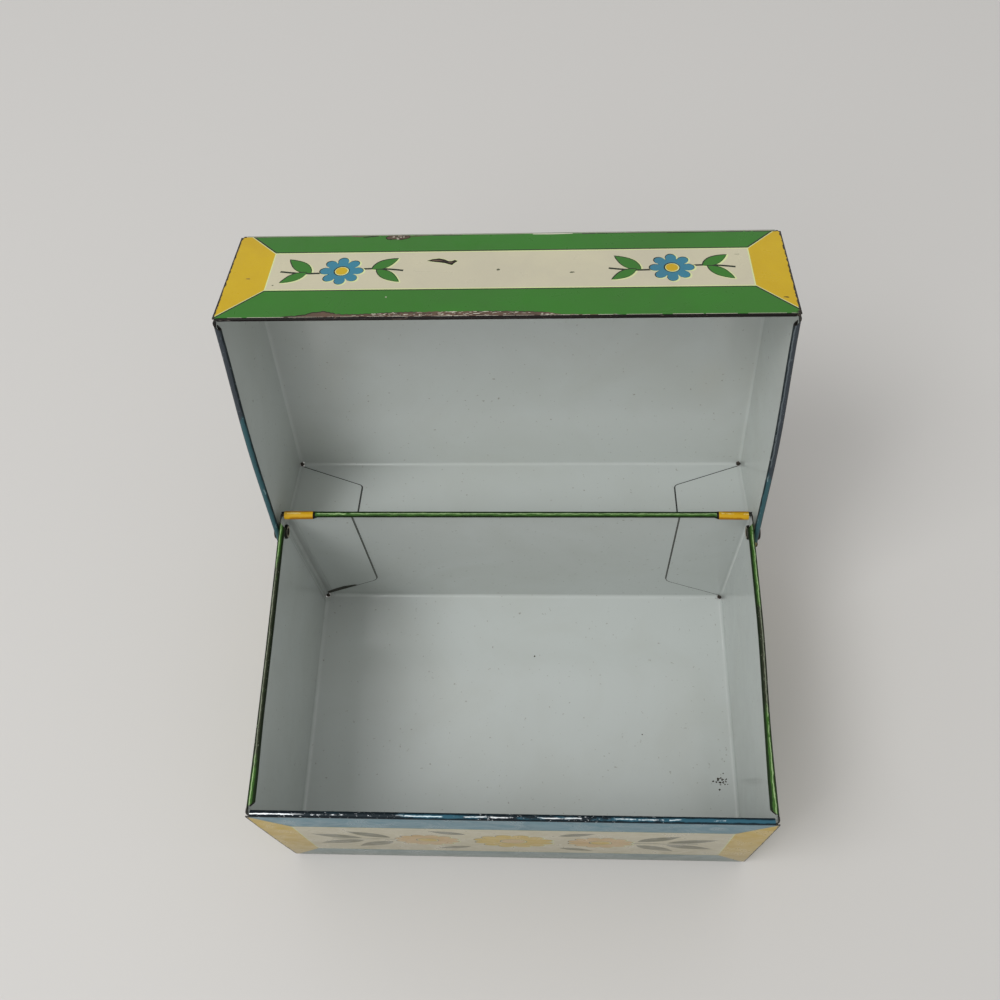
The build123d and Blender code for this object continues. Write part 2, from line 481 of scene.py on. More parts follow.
def print_on(mesh: bmesh.types.BMesh, flat: Flat, drawing: Drawing, number: dict[Ink, int]) -> None:
    """Cuts a drawing into the faces of one plane, and inks them.

    Args:
        mesh: the tray's mesh.
        flat: the plane.
        drawing: what is printed on it.
        number: the material number of each ink.
    """
    faces = [face for face in mesh.faces if flat.holds(face)]
    if not faces:
        LOG.warning("nothing to print on %s", flat)
        return
    own = set(faces)
    every_edge = dict.fromkeys(edge for face in faces for edge in face.edges)
    rims = [edge for edge in every_edge if len(own & set(edge.link_faces)) == 1]
    corners = list(dict.fromkeys(corner for face in faces for corner in face.verts))
    index = {corner: i for i, corner in enumerate(corners)}
    points = [flat.flatten(corner.co) for corner in corners]
    lines = [(index[edge.verts[0]], index[edge.verts[1]]) for edge in rims]
    rim_ends = [tuple(edge.verts) for edge in rims]
    regions = [[index[corner] for corner in face.verts] for face in faces]
    for shape in drawing.shapes:
        start, count = len(points), len(shape.outline)
        points += shape.outline
        lines += [(start + i, start + (i + 1) % count) for i in range(count)]
    found = delaunay_2d_cdt(points, lines, regions, 0, 1e-4)
    places, edges, triangles, from_points, from_lines, from_regions = found

    made: dict[int, bmesh.types.BMVert] = {}
    for place, sources in enumerate(from_points):
        known = [source for source in sources if source < len(corners)]
        if known:
            made[place] = corners[known[0]]
    on_rim: dict[int, set[int]] = {}
    for edge, sources in zip(edges, from_lines):
        for source in sources:
            if source < len(rims):
                on_rim.setdefault(source, set()).update(edge)
    for source, ends in on_rim.items():
        first, last = rim_ends[source]
        start = flat.flatten(first.co)
        for place in sorted(ends, key=lambda p: (places[p] - start).length):
            if place in made:
                continue
            edge = next(e for e in first.link_edges if e.other_vert(first) is last)
            share = (places[place] - flat.flatten(first.co)).length / edge.calc_length()
            _, corner = bmesh.utils.edge_split(edge, first, min(max(share, 0.0), 1.0))
            corner.co = flat.lift(places[place])
            made[place] = corner
            first = corner

    inked = []
    for triangle, sources in zip(triangles, from_regions):
        if sources:
            middle = sum((places[p] for p in triangle), Vector((0, 0))) / 3
            inked.append((triangle, drawing.ink_at(middle)))
    bmesh.ops.delete(mesh, geom=faces, context="FACES_ONLY")
    for triangle, ink in inked:
        for place in triangle:
            if place not in made:
                made[place] = mesh.verts.new(flat.lift(places[place]))
        face = mesh.faces.new([made[place] for place in triangle])
        face.material_index = number[ink]
        face.normal_update()
        if face.normal.dot(flat.normal) < 0:
            face.normal_flip()
    loose = [edge for edge in mesh.edges if not edge.link_faces]
    bmesh.ops.delete(mesh, geom=loose, context="EDGES")
    bmesh.ops.delete(mesh, geom=[v for v in mesh.verts if not v.link_edges], context="VERTS")


# ---------------------------------------------------------------------------------------------------
# Finishes
# ---------------------------------------------------------------------------------------------------


def linear(red: float, green: float, blue: float) -> tuple[float, float, float, float]:
    """A colour as the shaders take it.

    Args:
        red: red as a screen shows it, 0 to 255.
        green: green, the same.
        blue: blue, the same.

    Returns:
        The colour in linear light, with an alpha of 1.
    """
    shares = (channel / 255 for channel in (red, green, blue))
    steps = [share / 12.92 if share <= 0.04045 else ((share + 0.055) / 1.055) ** 2.4 for share in shares]
    return (*steps, 1.0)


Value = float | tuple | bpy.types.NodeSocket


class Board:
    """The nodes of one material, with short calls to add and join them."""

    def __init__(self, name: str) -> None:
        """Starts a material that holds only its output and its shader.

        Args:
            name: the material's name.
        """
        self.material = bpy.data.materials.new(name)
        self.material.use_nodes = True
        self.tree = self.material.node_tree
        self.tree.nodes.clear()
        self.output = self.tree.nodes.new("ShaderNodeOutputMaterial")
        self.shader = self.tree.nodes.new("ShaderNodeBsdfPrincipled")
        self.tree.links.new(self.shader.outputs["BSDF"], self.output.inputs["Surface"])

    def put(self, node: bpy.types.Node, socket: str | int, value: Value) -> None:
        """Sets an input, or joins it to another node's output."""
        if isinstance(value, bpy.types.NodeSocket):
            self.tree.links.new(value, node.inputs[socket])
        else:
            node.inputs[socket].default_value = value

    def add(self, kind: str, inputs: dict[str | int, Value], **settings: object) -> bpy.types.Node:
        """Adds a node.

        Args:
            kind: the node's type.
            inputs: the values or joins of its inputs.
            settings: its other settings.

        Returns:
            The node.
        """
        node = self.tree.nodes.new(kind)
        for name, value in settings.items():
            setattr(node, name, value)
        for socket, value in inputs.items():
            self.put(node, socket, value)
        return node

    def sum_of(self, operation: str, first: Value, second: Value = 0.0) -> bpy.types.NodeSocket:
        """The result of one step of arithmetic.

        Args:
            operation: the step, by the node's own name for it.
            first: the first value.
            second: the second value.

        Returns:
            The result.
        """
        return self.add("ShaderNodeMath", {0: first, 1: second}, operation=operation).outputs[0]

    def between(self, value: Value, low: float, high: float, start: float = 0.0, end: float = 1.0) -> bpy.types.NodeSocket:
        """A value spread from one range over another, and held at its ends.

        Args:
            value: the value.
            low: where the first range starts.
            high: where it ends.
            start: what the low end becomes.
            end: what the high end becomes.

        Returns:
            The new value.
        """
        inputs = {"Value": value, "From Min": low, "From Max": high, "To Min": start, "To Max": end}
        return self.add("ShaderNodeMapRange", inputs, clamp=True).outputs["Result"]

    def mix(self, share: Value, first: Value, second: Value) -> bpy.types.NodeSocket:
        """A colour between two others."""
        node = self.add("ShaderNodeMix", {}, data_type="RGBA")
        self.put(node, 0, share)
        self.put(node, 6, first)
        self.put(node, 7, second)
        return node.outputs[2]

    def reading(self, name: str, output: str = "Fac") -> bpy.types.NodeSocket:
        """A value stored in the mesh."""
        return self.add("ShaderNodeAttribute", {}, attribute_name=name).outputs[output]

    def place(self) -> bpy.types.NodeSocket:
        """The place on the unbent tray, in millimetres."""
        return self.reading("tray_place", "Vector")

    def cloud(self, scale: float, detail: float = 4.0, rough: float = 0.55, spread: float = 0.0) -> bpy.types.NodeSocket:
        """Noise over the sheet.

        Args:
            scale: how many features there are in a millimetre.
            detail: how many finer layers it has.
            rough: how strong they are.
            spread: how far it is warped.

        Returns:
            A value about 0.5.
        """
        inputs = {"Vector": self.place(), "Scale": scale, "Detail": detail, "Roughness": rough, "Distortion": spread}
        return self.add("ShaderNodeTexNoise", inputs).outputs["Fac"]

    def streak(self, along: float, across: float) -> bpy.types.NodeSocket:
        """Noise drawn out along the curled rims.

        Args:
            along: how many features there are in a millimetre of a rim's length.
            across: how many there are in a millimetre of its width.

        Returns:
            A value about 0.5.
        """
        flat = self.add("ShaderNodeVectorMath", {0: self.place(), 1: (along, along, 0.0)}, operation="MULTIPLY")
        lift = self.add("ShaderNodeCombineXYZ", {"Z": self.sum_of("MULTIPLY", self.reading("wall_depth"), across)})
        vector = self.add("ShaderNodeVectorMath", {0: flat.outputs[0], 1: lift.outputs[0]}, operation="ADD").outputs[0]
        noise = self.add("ShaderNodeTexNoise", {"Vector": vector, "Scale": 1.0, "Detail": 4.0, "Roughness": 0.65})
        return noise.outputs["Fac"]

    def relief(self, height: Value, strength: float, distance: float) -> None:
        """Gives the surface a fine relief.

        Args:
            height: the height.
            strength: how much of it shows.
            distance: how high it is at most, in metres.
        """
        node = self.add("ShaderNodeBump", {"Height": height, "Strength": strength, "Distance": distance})
        self.put(self.shader, "Normal", node.outputs["Normal"])


@dataclass(frozen=True)
class Wear:
    """How far an ink has rubbed through along folds and edges."""

    primer: tuple[float, float, float] = (96, 74, 62)
    steel: tuple[float, float, float] = (158, 156, 150)
    least_reach: float = 0.10
    most_reach: float = 1.5
    softness: float = 0.05

    def masks(self, board: Board) -> tuple[bpy.types.NodeSocket, bpy.types.NodeSocket]:
        """Where the ink is gone, and where the primer under it is gone as well.

        Args:
            board: the material.

        Returns:
            The two masks, 0 to 1.
        """
        gap, rub = board.reading("edge_gap"), board.reading("rub")
        reach = board.between(rub, 0.0, 1.0, self.least_reach, self.most_reach)
        near = board.sum_of("SUBTRACT", 1.0, board.sum_of("DIVIDE", gap, reach))
        near = board.sum_of("MAXIMUM", near, -1.0)
        coarse = board.sum_of("SUBTRACT", board.cloud(0.42, 6.0, 0.68, 0.6), 0.5)
        fine = board.sum_of("SUBTRACT", board.cloud(2.6, 3.0, 0.6), 0.5)
        ragged = board.sum_of("ADD", board.sum_of("MULTIPLY", coarse, 2.3), board.sum_of("MULTIPLY", fine, 1.1))
        level = board.sum_of("ADD", board.sum_of("MULTIPLY", near, 0.75), ragged)
        level = board.sum_of("ADD", level, board.sum_of("MULTIPLY", rub, 0.5))
        gone = board.between(level, 0.72 - self.softness, 0.72 + self.softness)
        deeper = board.sum_of("ADD", level, board.sum_of("MULTIPLY", board.sum_of("SUBTRACT", board.cloud(1.3, 4.0, 0.6), 0.5), 2.0))
        bare = board.between(deeper, 1.0, 1.1)
        return gone, bare


@dataclass(frozen=True)
class PrintedInk:
    """Ink printed on the sheet under a clear varnish, aged and rubbed, with a dark line along its folds that is partly
    dirt and partly painted shade, and a mix towards a dull colour that is partly fading and partly painted shade.
    """

    ink: Ink
    colour: tuple[float, float, float]
    deeper: tuple[float, float, float]
    gloss: float = 0.34
    varnish: float = 0.28
    # the colour of the fold line: partly dirt and wear, partly painted shade of the bend
    fold_dirt_and_shade: tuple[float, float, float] = (34, 30, 24)
    faded_and_shaded: tuple[float, float, float] = (134, 126, 104)
    wear: Wear = Wear()

    def material(self) -> bpy.types.Material:
        """The ink's material."""
        board = Board(self.ink.value)
        mottle = board.between(board.cloud(0.055, 5.0, 0.6, 0.4), 0.35, 0.65)
        grain = board.between(board.cloud(1.7, 3.0, 0.7), 0.3, 0.7)
        tone = board.sum_of("ADD", board.sum_of("MULTIPLY", mottle, 0.7), board.sum_of("MULTIPLY", grain, 0.3))
        colour = board.mix(tone, linear(*self.colour), linear(*self.deeper))
        gone, bare = self.wear.masks(board)
        under = board.mix(bare, linear(*self.wear.primer), linear(*self.wear.steel))
        colour = board.mix(gone, colour, under)
        # The print is mixed towards a dull grey-brown where faded, and on the front wall also as painted shade, darker
        # towards its foot.
        colour = board.mix(board.reading("fade_and_shade"), colour, linear(*self.faded_and_shaded))
        # A dark line along the outer folds: dirt and wear, and painted shade of the bend.
        crease = board.reading("crease")
        wander = board.sum_of("MULTIPLY", board.sum_of("SUBTRACT", board.cloud(0.8, 5.0, 0.75), 0.5), 1.7)
        from_fold = board.sum_of("SUBTRACT", board.reading("edge_gap"), board.sum_of("MULTIPLY", crease, 0.46))
        on_fold = board.between(board.sum_of("ADD", from_fold, wander), -0.07, 0.07, 1.0, 0.0)
        on_fold = board.sum_of("MULTIPLY", on_fold, board.between(crease, 0.0, 0.4))
        colour = board.mix(on_fold, colour, linear(*self.fold_dirt_and_shade))
        board.put(board.shader, "Base Color", colour)
        smear = board.between(board.cloud(0.11, 5.0, 0.65, 1.2), 0.35, 0.7, self.gloss - 0.08, self.gloss + 0.12)
        board.put(board.shader, "Roughness", board.sum_of("MAXIMUM", smear, board.sum_of("MULTIPLY", gone, 0.55)))
        board.put(board.shader, "Metallic", board.sum_of("MULTIPLY", bare, board.sum_of("MULTIPLY", gone, 0.8)))
        board.put(board.shader, "Specular IOR Level", self.varnish)
        film = board.sum_of("ADD", board.sum_of("MULTIPLY", board.cloud(0.6, 3.0, 0.5), 0.5), board.sum_of("MULTIPLY", gone, -0.8))
        board.relief(film, 0.25, 0.00006)
        return board.material


@dataclass(frozen=True)
class WhiteEnamel:
    """The glossy white lining of the trays, with faint stains and scuffs, and painted shade darkening its inner
    corners.
    """

    ink: Ink
    colour: tuple[float, float, float] = (196, 201, 198)
    stain: tuple[float, float, float] = (176, 178, 168)

    def material(self) -> bpy.types.Material:
        """The lining's material."""
        board = Board(self.ink.value)
        cloud = board.between(board.cloud(0.03, 5.0, 0.55, 0.8), 0.42, 0.68)
        spots = board.between(board.cloud(0.9, 2.0, 0.5), 0.70, 0.76)
        colour = board.mix(board.sum_of("MULTIPLY", cloud, 0.22), linear(*self.colour), linear(*self.stain))
        colour = board.mix(board.sum_of("MULTIPLY", spots, 0.5), colour, linear(120, 112, 98))
        # The inner corners are painted darker and duller: painted shade.
        corner_shade = board.between(board.reading("crease"), 0.35, 0.9)
        board.put(board.shader, "Base Color", board.mix(board.sum_of("MULTIPLY", corner_shade, 0.3), colour, linear(110, 112, 104)))
        smear = board.between(board.cloud(0.08, 6.0, 0.65, 1.5), 0.35, 0.7, 0.13, 0.2)
        board.put(board.shader, "Roughness", board.sum_of("MAXIMUM", smear, board.sum_of("MULTIPLY", corner_shade, 0.7)))
        board.put(board.shader, "IOR", 1.55)
        board.relief(board.cloud(0.045, 2.0, 0.4), 0.25, 0.0006)
        return board.material


@dataclass(frozen=True)
class RolledRim:
    """Ink on a curled rim: dark lines of painted shade along both sides of the curl, a painted highlight in streaks on
    its crest, and worn patches with pale flecks of bare metal.
    """

    ink: Ink
    colour: tuple[float, float, float]
    dark: tuple[float, float, float]
    pale: tuple[float, float, float]
    streaks: float = 0.4  # how much of the crest carries the painted highlight
    outer_line: float = 0.22  # where the outer dark line of painted shade ends, in millimetres from the wall's face
    inner_line: float = 1.25  # where the inner one starts
    # where the painted highlight lies across the curl, and half its width
    crest: float = 0.7
    crest_half: float = 0.2
    worn: tuple[float, float, float] = (50, 50, 42)
    scuffed_highlight: tuple[float, float, float] = (128, 128, 118)  # the colour of the crest and of the flecks where the ink is worn: partly bare metal, partly painted highlight

    def material(self) -> bpy.types.Material:
        """The rim's material."""
        board = Board(self.ink.value)
        stray = board.sum_of("MULTIPLY", board.sum_of("SUBTRACT", board.streak(0.35, 1.0), 0.5), 0.7)
        across = board.sum_of("ADD", board.reading("wall_depth"), stray)
        # Dark lines along both sides of the curl: painted shade and painted dark reflection.
        outer = board.between(across, self.outer_line - 0.08, self.outer_line + 0.08, 1.0, 0.0)
        inner = board.between(across, self.inner_line - 0.1, self.inner_line + 0.1)
        lines = board.sum_of("MULTIPLY", board.sum_of("MAXIMUM", outer, inner), 0.9)
        rubbed = board.sum_of("MULTIPLY", board.reading("rub"), 0.75)
        patches = board.between(board.sum_of("ADD", board.streak(0.16, 0.5), rubbed), 0.74, 0.9)
        # A pale line in streaks along the crest, and all along it where the rub is strong: a painted highlight.
        aside = board.sum_of("ABSOLUTE", board.sum_of("SUBTRACT", across, self.crest))
        on_crest = board.between(aside, self.crest_half * 0.5, self.crest_half, 1.0, 0.0)
        start = 0.66 - 0.32 * self.streaks
        rubbed_highlight = board.between(board.reading("rub"), 0.75, 0.95)
        lit = board.sum_of("MAXIMUM", board.between(board.streak(0.13, 0.0), start, start + 0.05), rubbed_highlight)
        flecks = board.between(board.streak(1.1, 2.2), 0.62, 0.68)
        pale = board.sum_of("MAXIMUM", board.sum_of("MULTIPLY", on_crest, lit), board.sum_of("MULTIPLY", flecks, patches))
        highlight = board.mix(patches, linear(*self.pale), linear(*self.scuffed_highlight))
        colour = board.mix(patches, linear(*self.colour), linear(*self.worn))
        colour = board.mix(lines, colour, linear(*self.dark))
        board.put(board.shader, "Base Color", board.mix(pale, colour, highlight))
        board.put(board.shader, "Roughness", board.between(pale, 0.0, 1.0, 0.42, 0.3))
        board.put(board.shader, "Metallic", board.sum_of("MULTIPLY", pale, 0.3))
        board.put(board.shader, "Specular IOR Level", 0.12)
        board.relief(board.streak(0.8, 2.5), 0.4, 0.0001)
        return board.material


@dataclass(frozen=True)
class BareMetal:
    """Metal with no ink on it, tarnished in patches."""

    name: str
    colour: tuple[float, float, float]
    tarnish: tuple[float, float, float]
    metallic: float
    roughness: float
    patch: float = 0.5
    amount: float = 0.5

    def material(self) -> bpy.types.Material:
        """The metal's material."""
        board = Board(self.name)
        low = 0.62 - 0.3 * self.amount
        patches = board.between(board.cloud(self.patch, 6.0, 0.7, 0.8), low, low + 0.16)
        board.put(board.shader, "Base Color", board.mix(patches, linear(*self.colour), linear(*self.tarnish)))
        board.put(board.shader, "Roughness", board.between(patches, 0.0, 1.0, self.roughness, min(self.roughness + 0.3, 1.0)))
        board.put(board.shader, "Metallic", board.between(patches, 0.0, 1.0, self.metallic, self.metallic * 0.35))
        board.relief(board.cloud(self.patch * 6, 3.0, 0.6), 0.2, 0.00005)
        return board.material


FINISHES = {
    Ink.GREEN: PrintedInk(Ink.GREEN, (42, 112, 22), (46, 104, 28)),
    Ink.BLUE: PrintedInk(Ink.BLUE, (46, 122, 146), (50, 112, 134)),
    Ink.YELLOW: PrintedInk(Ink.YELLOW, (196, 164, 12), (186, 152, 14)),
    Ink.ORANGE: PrintedInk(Ink.ORANGE, (196, 160, 100), (186, 150, 90)),
    Ink.CREAM: PrintedInk(Ink.CREAM, (195, 189, 162), (186, 180, 158)),
    Ink.HALO: PrintedInk(Ink.HALO, (204, 214, 158), (196, 204, 148)),
    Ink.KEYLINE: PrintedInk(Ink.KEYLINE, (18, 34, 8), (24, 26, 8)),
    Ink.OLIVE: PrintedInk(Ink.OLIVE, (84, 90, 66), (76, 78, 58)),
    Ink.PRIMER: PrintedInk(Ink.PRIMER, (104, 82, 66), (70, 56, 46), gloss=0.6),
    Ink.CHIP: PrintedInk(Ink.CHIP, (196, 194, 178), (172, 164, 150), gloss=0.45),
    Ink.SEAM: PrintedInk(Ink.SEAM, (40, 42, 38), (28, 28, 24), gloss=0.6),
    Ink.RUST: PrintedInk(Ink.RUST, (38, 28, 20), (26, 20, 16), gloss=0.7),
    # The curled rims take darker copies of the flat inks, as painted shade on the curl; the dark rim is near black,
    # painted shade where the curl turns from the light, with some bare dark metal.
    Ink.GREEN_RIM: RolledRim(Ink.GREEN_RIM, (54, 92, 34), (20, 30, 14), (146, 172, 122), 0.95, 0.42, 1.15, 0.66, 0.15, (44, 48, 34), (122, 128, 110)),
    Ink.BLUE_RIM: RolledRim(Ink.BLUE_RIM, (46, 88, 104), (12, 22, 28), (190, 206, 212), 0.5, 0.36, 1.1, 0.74, 0.17, (22, 32, 38), (214, 218, 220)),
    Ink.YELLOW_RIM: RolledRim(Ink.YELLOW_RIM, (200, 156, 30), (160, 108, 20), (228, 206, 126), 0.5, 0.16, 1.2, 0.5),
    Ink.SLATE_RIM: RolledRim(Ink.SLATE_RIM, (54, 88, 94), (30, 38, 40), (128, 152, 156), 0.2, 0.26, 1.4, 1.2, 0.16, (58, 64, 70), (110, 118, 122)),
    Ink.DARK_RIM: RolledRim(Ink.DARK_RIM, (16, 12, 10), (8, 6, 6), (110, 106, 98), 0.1, 0.0, worn=(20, 15, 13), scuffed_highlight=(92, 78, 68)),
    Ink.ENAMEL: WhiteEnamel(Ink.ENAMEL),
    Ink.TIN: BareMetal(Ink.TIN.value, (172, 170, 162), (138, 132, 120), 0.75, 0.34, 0.12, 0.4),
    Ink.EDGE: BareMetal(Ink.EDGE.value, (40, 38, 33), (20, 18, 16), 0.15, 0.6, 0.8, 0.6),
}
# Each flat ink's darker copy for its curled rim: painted shade on the curl.
RIMS = {Ink.GREEN: Ink.GREEN_RIM, Ink.BLUE: Ink.BLUE_RIM, Ink.YELLOW: Ink.YELLOW_RIM}


# ---------------------------------------------------------------------------------------------------
# The two trays
# ---------------------------------------------------------------------------------------------------


@dataclass(frozen=True)
class Rub:
    """A stretch of a tray that hands or the other tray have rubbed."""

    start: tuple[float, float, float]
    end: tuple[float, float, float]
    reach: float
    strength: float

    def at(self, point: Vector) -> float:
        """How rubbed a point of the tray is.

        Args:
            point: the point, in the tray's frame.

        Returns:
            0 to the stretch's own strength.
        """
        start, end = Vector(self.start), Vector(self.end)
        along = end - start
        share = min(max((point - start).dot(along) / max(along.length_squared, 1e-9), 0.0), 1.0)
        far = (point - start - along * share).length / self.reach
        return self.strength * max(0.0, 1 - far * far)


@dataclass
class PrintedTray:
    """One folded tray with its print, its bow and its wear."""

    node: str
    piece: str
    body: str
    bead: float
    rubs: tuple[Rub, ...]
    creases: tuple[Rub, ...]
    light_rub: float
    inks: tuple[Ink, ...] = tuple(Ink)

    @property
    def to_own(self) -> Matrix:
        """From the row frame to the tray's own frame."""
        return Matrix.Scale(1 / MM, 4)

    def copy_form(self) -> bmesh.types.BMesh:
        """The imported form, welded, with its flat faces whole, in the tray's own frame."""
        mesh = bmesh.new()
        mesh.from_mesh(frame["nodes"][self.node].data)
        bmesh.ops.transform(mesh, matrix=self.to_own, verts=mesh.verts)
        bmesh.ops.remove_doubles(mesh, verts=mesh.verts, dist=WELD)
        bmesh.ops.dissolve_limit(mesh, angle_limit=math.radians(0.5), verts=mesh.verts, edges=mesh.edges)
        mesh.verts.index_update()
        mesh.edges.index_update()
        return mesh

    def measure(self, mesh: bmesh.types.BMesh) -> None:
        """Reads the tray's outer sizes from its form.

        Args:
            mesh: the tray's mesh.
        """
        self.half = max(v.co.x for v in mesh.verts)
        self.front = min(v.co.y for v in mesh.verts)
        self.back = max(v.co.y for v in mesh.verts)
        self.low = min(v.co.z for v in mesh.verts)
        self.high = max(v.co.z for v in mesh.verts)
        rear = [v.co for v in mesh.verts if v.co.y > self.back - self.bead]
        rim_ends = [place.z for place in rear if abs(self.half - abs(place.x) - self.rim_end) < 0.05]
        self.back_mouth = max(rim_ends) if self.mouth_up else min(rim_ends)

    mouth_up = True
    rim_end = 1.2  # where the rear rim stops, from the side wall's outer face

    @property
    def mouth(self) -> float:
        """Height of the mouth at the front and the sides."""
        return self.high if self.mouth_up else self.low

    @property
    def closed_end(self) -> Side:
        """The side opposite the mouth."""
        return Side.BOTTOM if self.mouth_up else Side.TOP

    def flat(self, side: Side, inner: bool = False) -> Flat:
        """The plane of one side.

        Args:
            side: the side.
            inner: True for the face that looks into the tray.

        Returns:
            The plane.
        """
        offsets = {
            Side.FRONT: -self.front,
            Side.BACK: self.back,
            Side.LEFT: self.half,
            Side.RIGHT: self.half,
            Side.TOP: self.high,
            Side.BOTTOM: -self.low,
        }
        return Flat.of(side, offsets[side] - (SHEET if inner else 0.0), inner)

    def drawings(self) -> dict[Side, Drawing]:
        """What is printed on each outer side."""
        raise NotImplementedError

    def linings(self) -> dict[Side, Drawing]:
        """What has marked the inside of each side."""
        raise NotImplementedError

    def packed_dirt_and_shadow(self, side: Side, flat: Flat) -> list[Shape]:
        """Dark patches along the lower edges of the tabs on one wall: packed dirt, and painted shadow under the tab's
        edge.
        """
        return []

    def faded_and_shaded(self, point: Vector) -> float:
        """How far the print is faded, and painted darker as shade, at a point, 0 to 1."""
        return 0.0

    def corner_dirt_and_shade(self, flat: Flat) -> list[Shape]:
        """Dark patches on an inner wall by the ends of its rim, where the curl stops short of the corner: dirt, and
        painted shade of the open curl end.

        Args:
            flat: the plane of the inner wall.

        Returns:
            A patch at each end.
        """
        patches = []
        for x in (-self.half, self.half):
            for y in (self.front, self.back):
                if abs(Vector((x, y, 0)).dot(flat.normal) - flat.offset) > 2 * SHEET:
                    continue
                rear = y == self.back
                mouth = self.back_mouth if rear and abs(flat.normal.y) > 0.5 else self.mouth
                deep = self.corner_deep[rear] * (-1 if self.mouth_up else 1)
                middle = Vector((0, (self.front + self.back) / 2, 0))
                inward = (middle - Vector((x, y, 0)))
                inward -= inward.dot(flat.normal) * flat.normal
                inward = inward.normalized() * 3.4
                top, bottom = Vector((x, y, mouth)), Vector((x, y, mouth + deep))
                patches.append(polygon([flat.flatten(p) for p in (top, top + inward, bottom + inward * 0.7, bottom)], Ink.SEAM))
        return patches

    corner_deep = (2.0, 0.8)  # how deep the dark corner patches of dirt and painted shade reach at the front corners, and at the rear ones

    def rim_ink(self, side: Side, printed: Ink) -> Ink:
        """The finish of a curled rim, from its side and the ink that runs over it."""
        return RIMS.get(printed, Ink.DARK_RIM)

    def bow(self, point: Vector) -> Vector:
        """Where a point lies once the sheet has bowed."""
        raise NotImplementedError

    def gaps(self, point: Vector) -> list[float]:
        """The distances of a point from the tray's outer planes and its mouth, nearest first."""
        near_back = self.back - point.y < self.bead
        mouth = self.back_mouth if near_back else self.mouth
        end = self.low if self.mouth_up else self.high
        distances = [
            self.half - abs(point.x),
            point.y - self.front,
            self.back - point.y,
            abs(point.z - end),
            abs(mouth - point.z),
        ]
        return sorted(abs(distance) for distance in distances)

    def ink_of(self, face: bmesh.types.BMFace) -> Ink:
        """The finish of a face that no drawing covers.

        Args:
            face: the face.

        Returns:
            Its finish.
        """
        middle = face.calc_center_median()
        if self.is_cut_edge(face):
            return Ink.EDGE
        depths = {
            Side.FRONT: middle.y - self.front,
            Side.BACK: self.back - middle.y,
            Side.LEFT: middle.x + self.half,
            Side.RIGHT: self.half - middle.x,
            self.closed_end: (middle.z - self.low) if self.mouth_up else (self.high - middle.z),
        }
        wall = min((side for side in depths if side is not self.closed_end), key=depths.get)
        from_mouth = abs((self.back_mouth if wall is Side.BACK else self.mouth) - middle.z)
        walls = sorted(depth for side, depth in depths.items() if side is not self.closed_end)
        # Near the rim's corner ends the sheet is painted dark: dirt, and painted shade of the open curl end.
        if walls[1] < 2.0 and from_mouth < self.corner_deep[depths[Side.BACK] < 3.0]:
            return Ink.SEAM
        wall_side = from_mouth >= self.bead or depths[wall] >= self.bead + 0.05
        if not wall_side:
            radius = self.bead / 2
            mouth_way = Vector((0, 0, 1 if self.mouth_up else -1))
            from_axis = Vector(wall.value) * (radius - depths[wall]) + mouth_way * (radius - from_mouth)
            outside = face.normal.dot(from_axis) > 0
            if outside:
                return self.rim_ink(wall, self.prints[wall].ink_at(self.flat(wall).flatten(middle)))
            side = wall
        else:
            near = [side for side, depth in depths.items() if depth < self.bend_reach]
            outward = sum((Vector(side.value) for side in near), Vector())
            outside = face.normal.dot(outward) > 0
            side = max(depths, key=lambda side: face.normal.dot(Vector(side.value)))
        # The inside of a curl is painted dark: painted shade of the hidden enamel, and dirt.
        if not outside:
            return Ink.ENAMEL if wall_side else Ink.SEAM
        return self.prints[side].ink_at(self.flat(side).flatten(middle))

    bend_reach = 2.4

    def is_cut_edge(self, face: bmesh.types.BMFace) -> bool:
        """Whether a face is the raw edge of the sheet, which the sheet's two faces meet from both sides.

        Args:
            face: the face.

        Returns:
            True for a raw edge.
        """
        around = [
            (other.normal, edge.verts[0].co)
            for edge in face.edges
            for other in edge.link_faces
            if other is not face
        ]
        for place, (normal, corner) in enumerate(around):
            for other_normal, other_corner in around[place + 1:]:
                if normal.dot(other_normal) < -0.96 and abs((corner - other_corner).dot(normal)) < 1.3 * SHEET:
                    return True
        return False

    def seams(self, mesh: bmesh.types.BMesh, flat: Flat, width: float) -> list[Shape]:
        """The dark lines where the folded tabs end on an inner wall: dirt, and painted shadow of the gap under each
        tab's edge.

        Args:
            mesh: the tray's mesh.
            flat: the plane of the inner wall, or of the tabs on it.
            width: the width of the dirt, half of it on this plane.

        Returns:
            A short line for each edge of a tab.
        """
        lines = []
        for edge in mesh.edges:
            on_wall = [face for face in edge.link_faces if flat.holds(face)]
            if len(on_wall) != 1 or len(edge.link_faces) != 2:
                continue
            other = next(face for face in edge.link_faces if face is not on_wall[0])
            step = abs(other.calc_center_median().dot(flat.normal) - flat.offset)
            if abs(other.normal.dot(flat.normal)) < 0.1 and 0.3 * SHEET < step < 0.7 * SHEET:
                ends = [flat.flatten(v.co) for v in edge.verts]
                lines.append(stroke(ends, width, Ink.SEAM))
        return lines

    # Widths of the dark tab lines; the wider one on the tab's own face also stands for the painted shadow under its
    # edge.
    seam_width = 0.34
    tab_dirt_and_shadow = 0.52

    def cut_grid(self, mesh: bmesh.types.BMesh, extra: Sequence[float] = ()) -> None:
        """Cuts the sheet along evenly spaced planes so that it can bow.

        Args:
            mesh: the tray's mesh.
            extra: more places along X.
        """
        spans = ((0, -self.half, self.half), (1, self.front, self.back), (2, self.low, self.high))
        for axis, low, high in spans:
            count = round((high - low) / GRID)
            places = [low + (high - low) * (i + 0.5) / count for i in range(count)]
            if axis == 0:
                places += list(extra)
            normal = Vector([float(i == axis) for i in range(3)])
            for place in places:
                everything = [*mesh.verts, *mesh.edges, *mesh.faces]
                bmesh.ops.bisect_plane(mesh, geom=everything, dist=1e-5, plane_co=normal * place, plane_no=normal)

    cuts: tuple[float, ...] = ()
    rear_gap_shade = 0.0  # how much wider the dark line on the rear rim is, in millimetres: painted shadow of the gap behind the rim
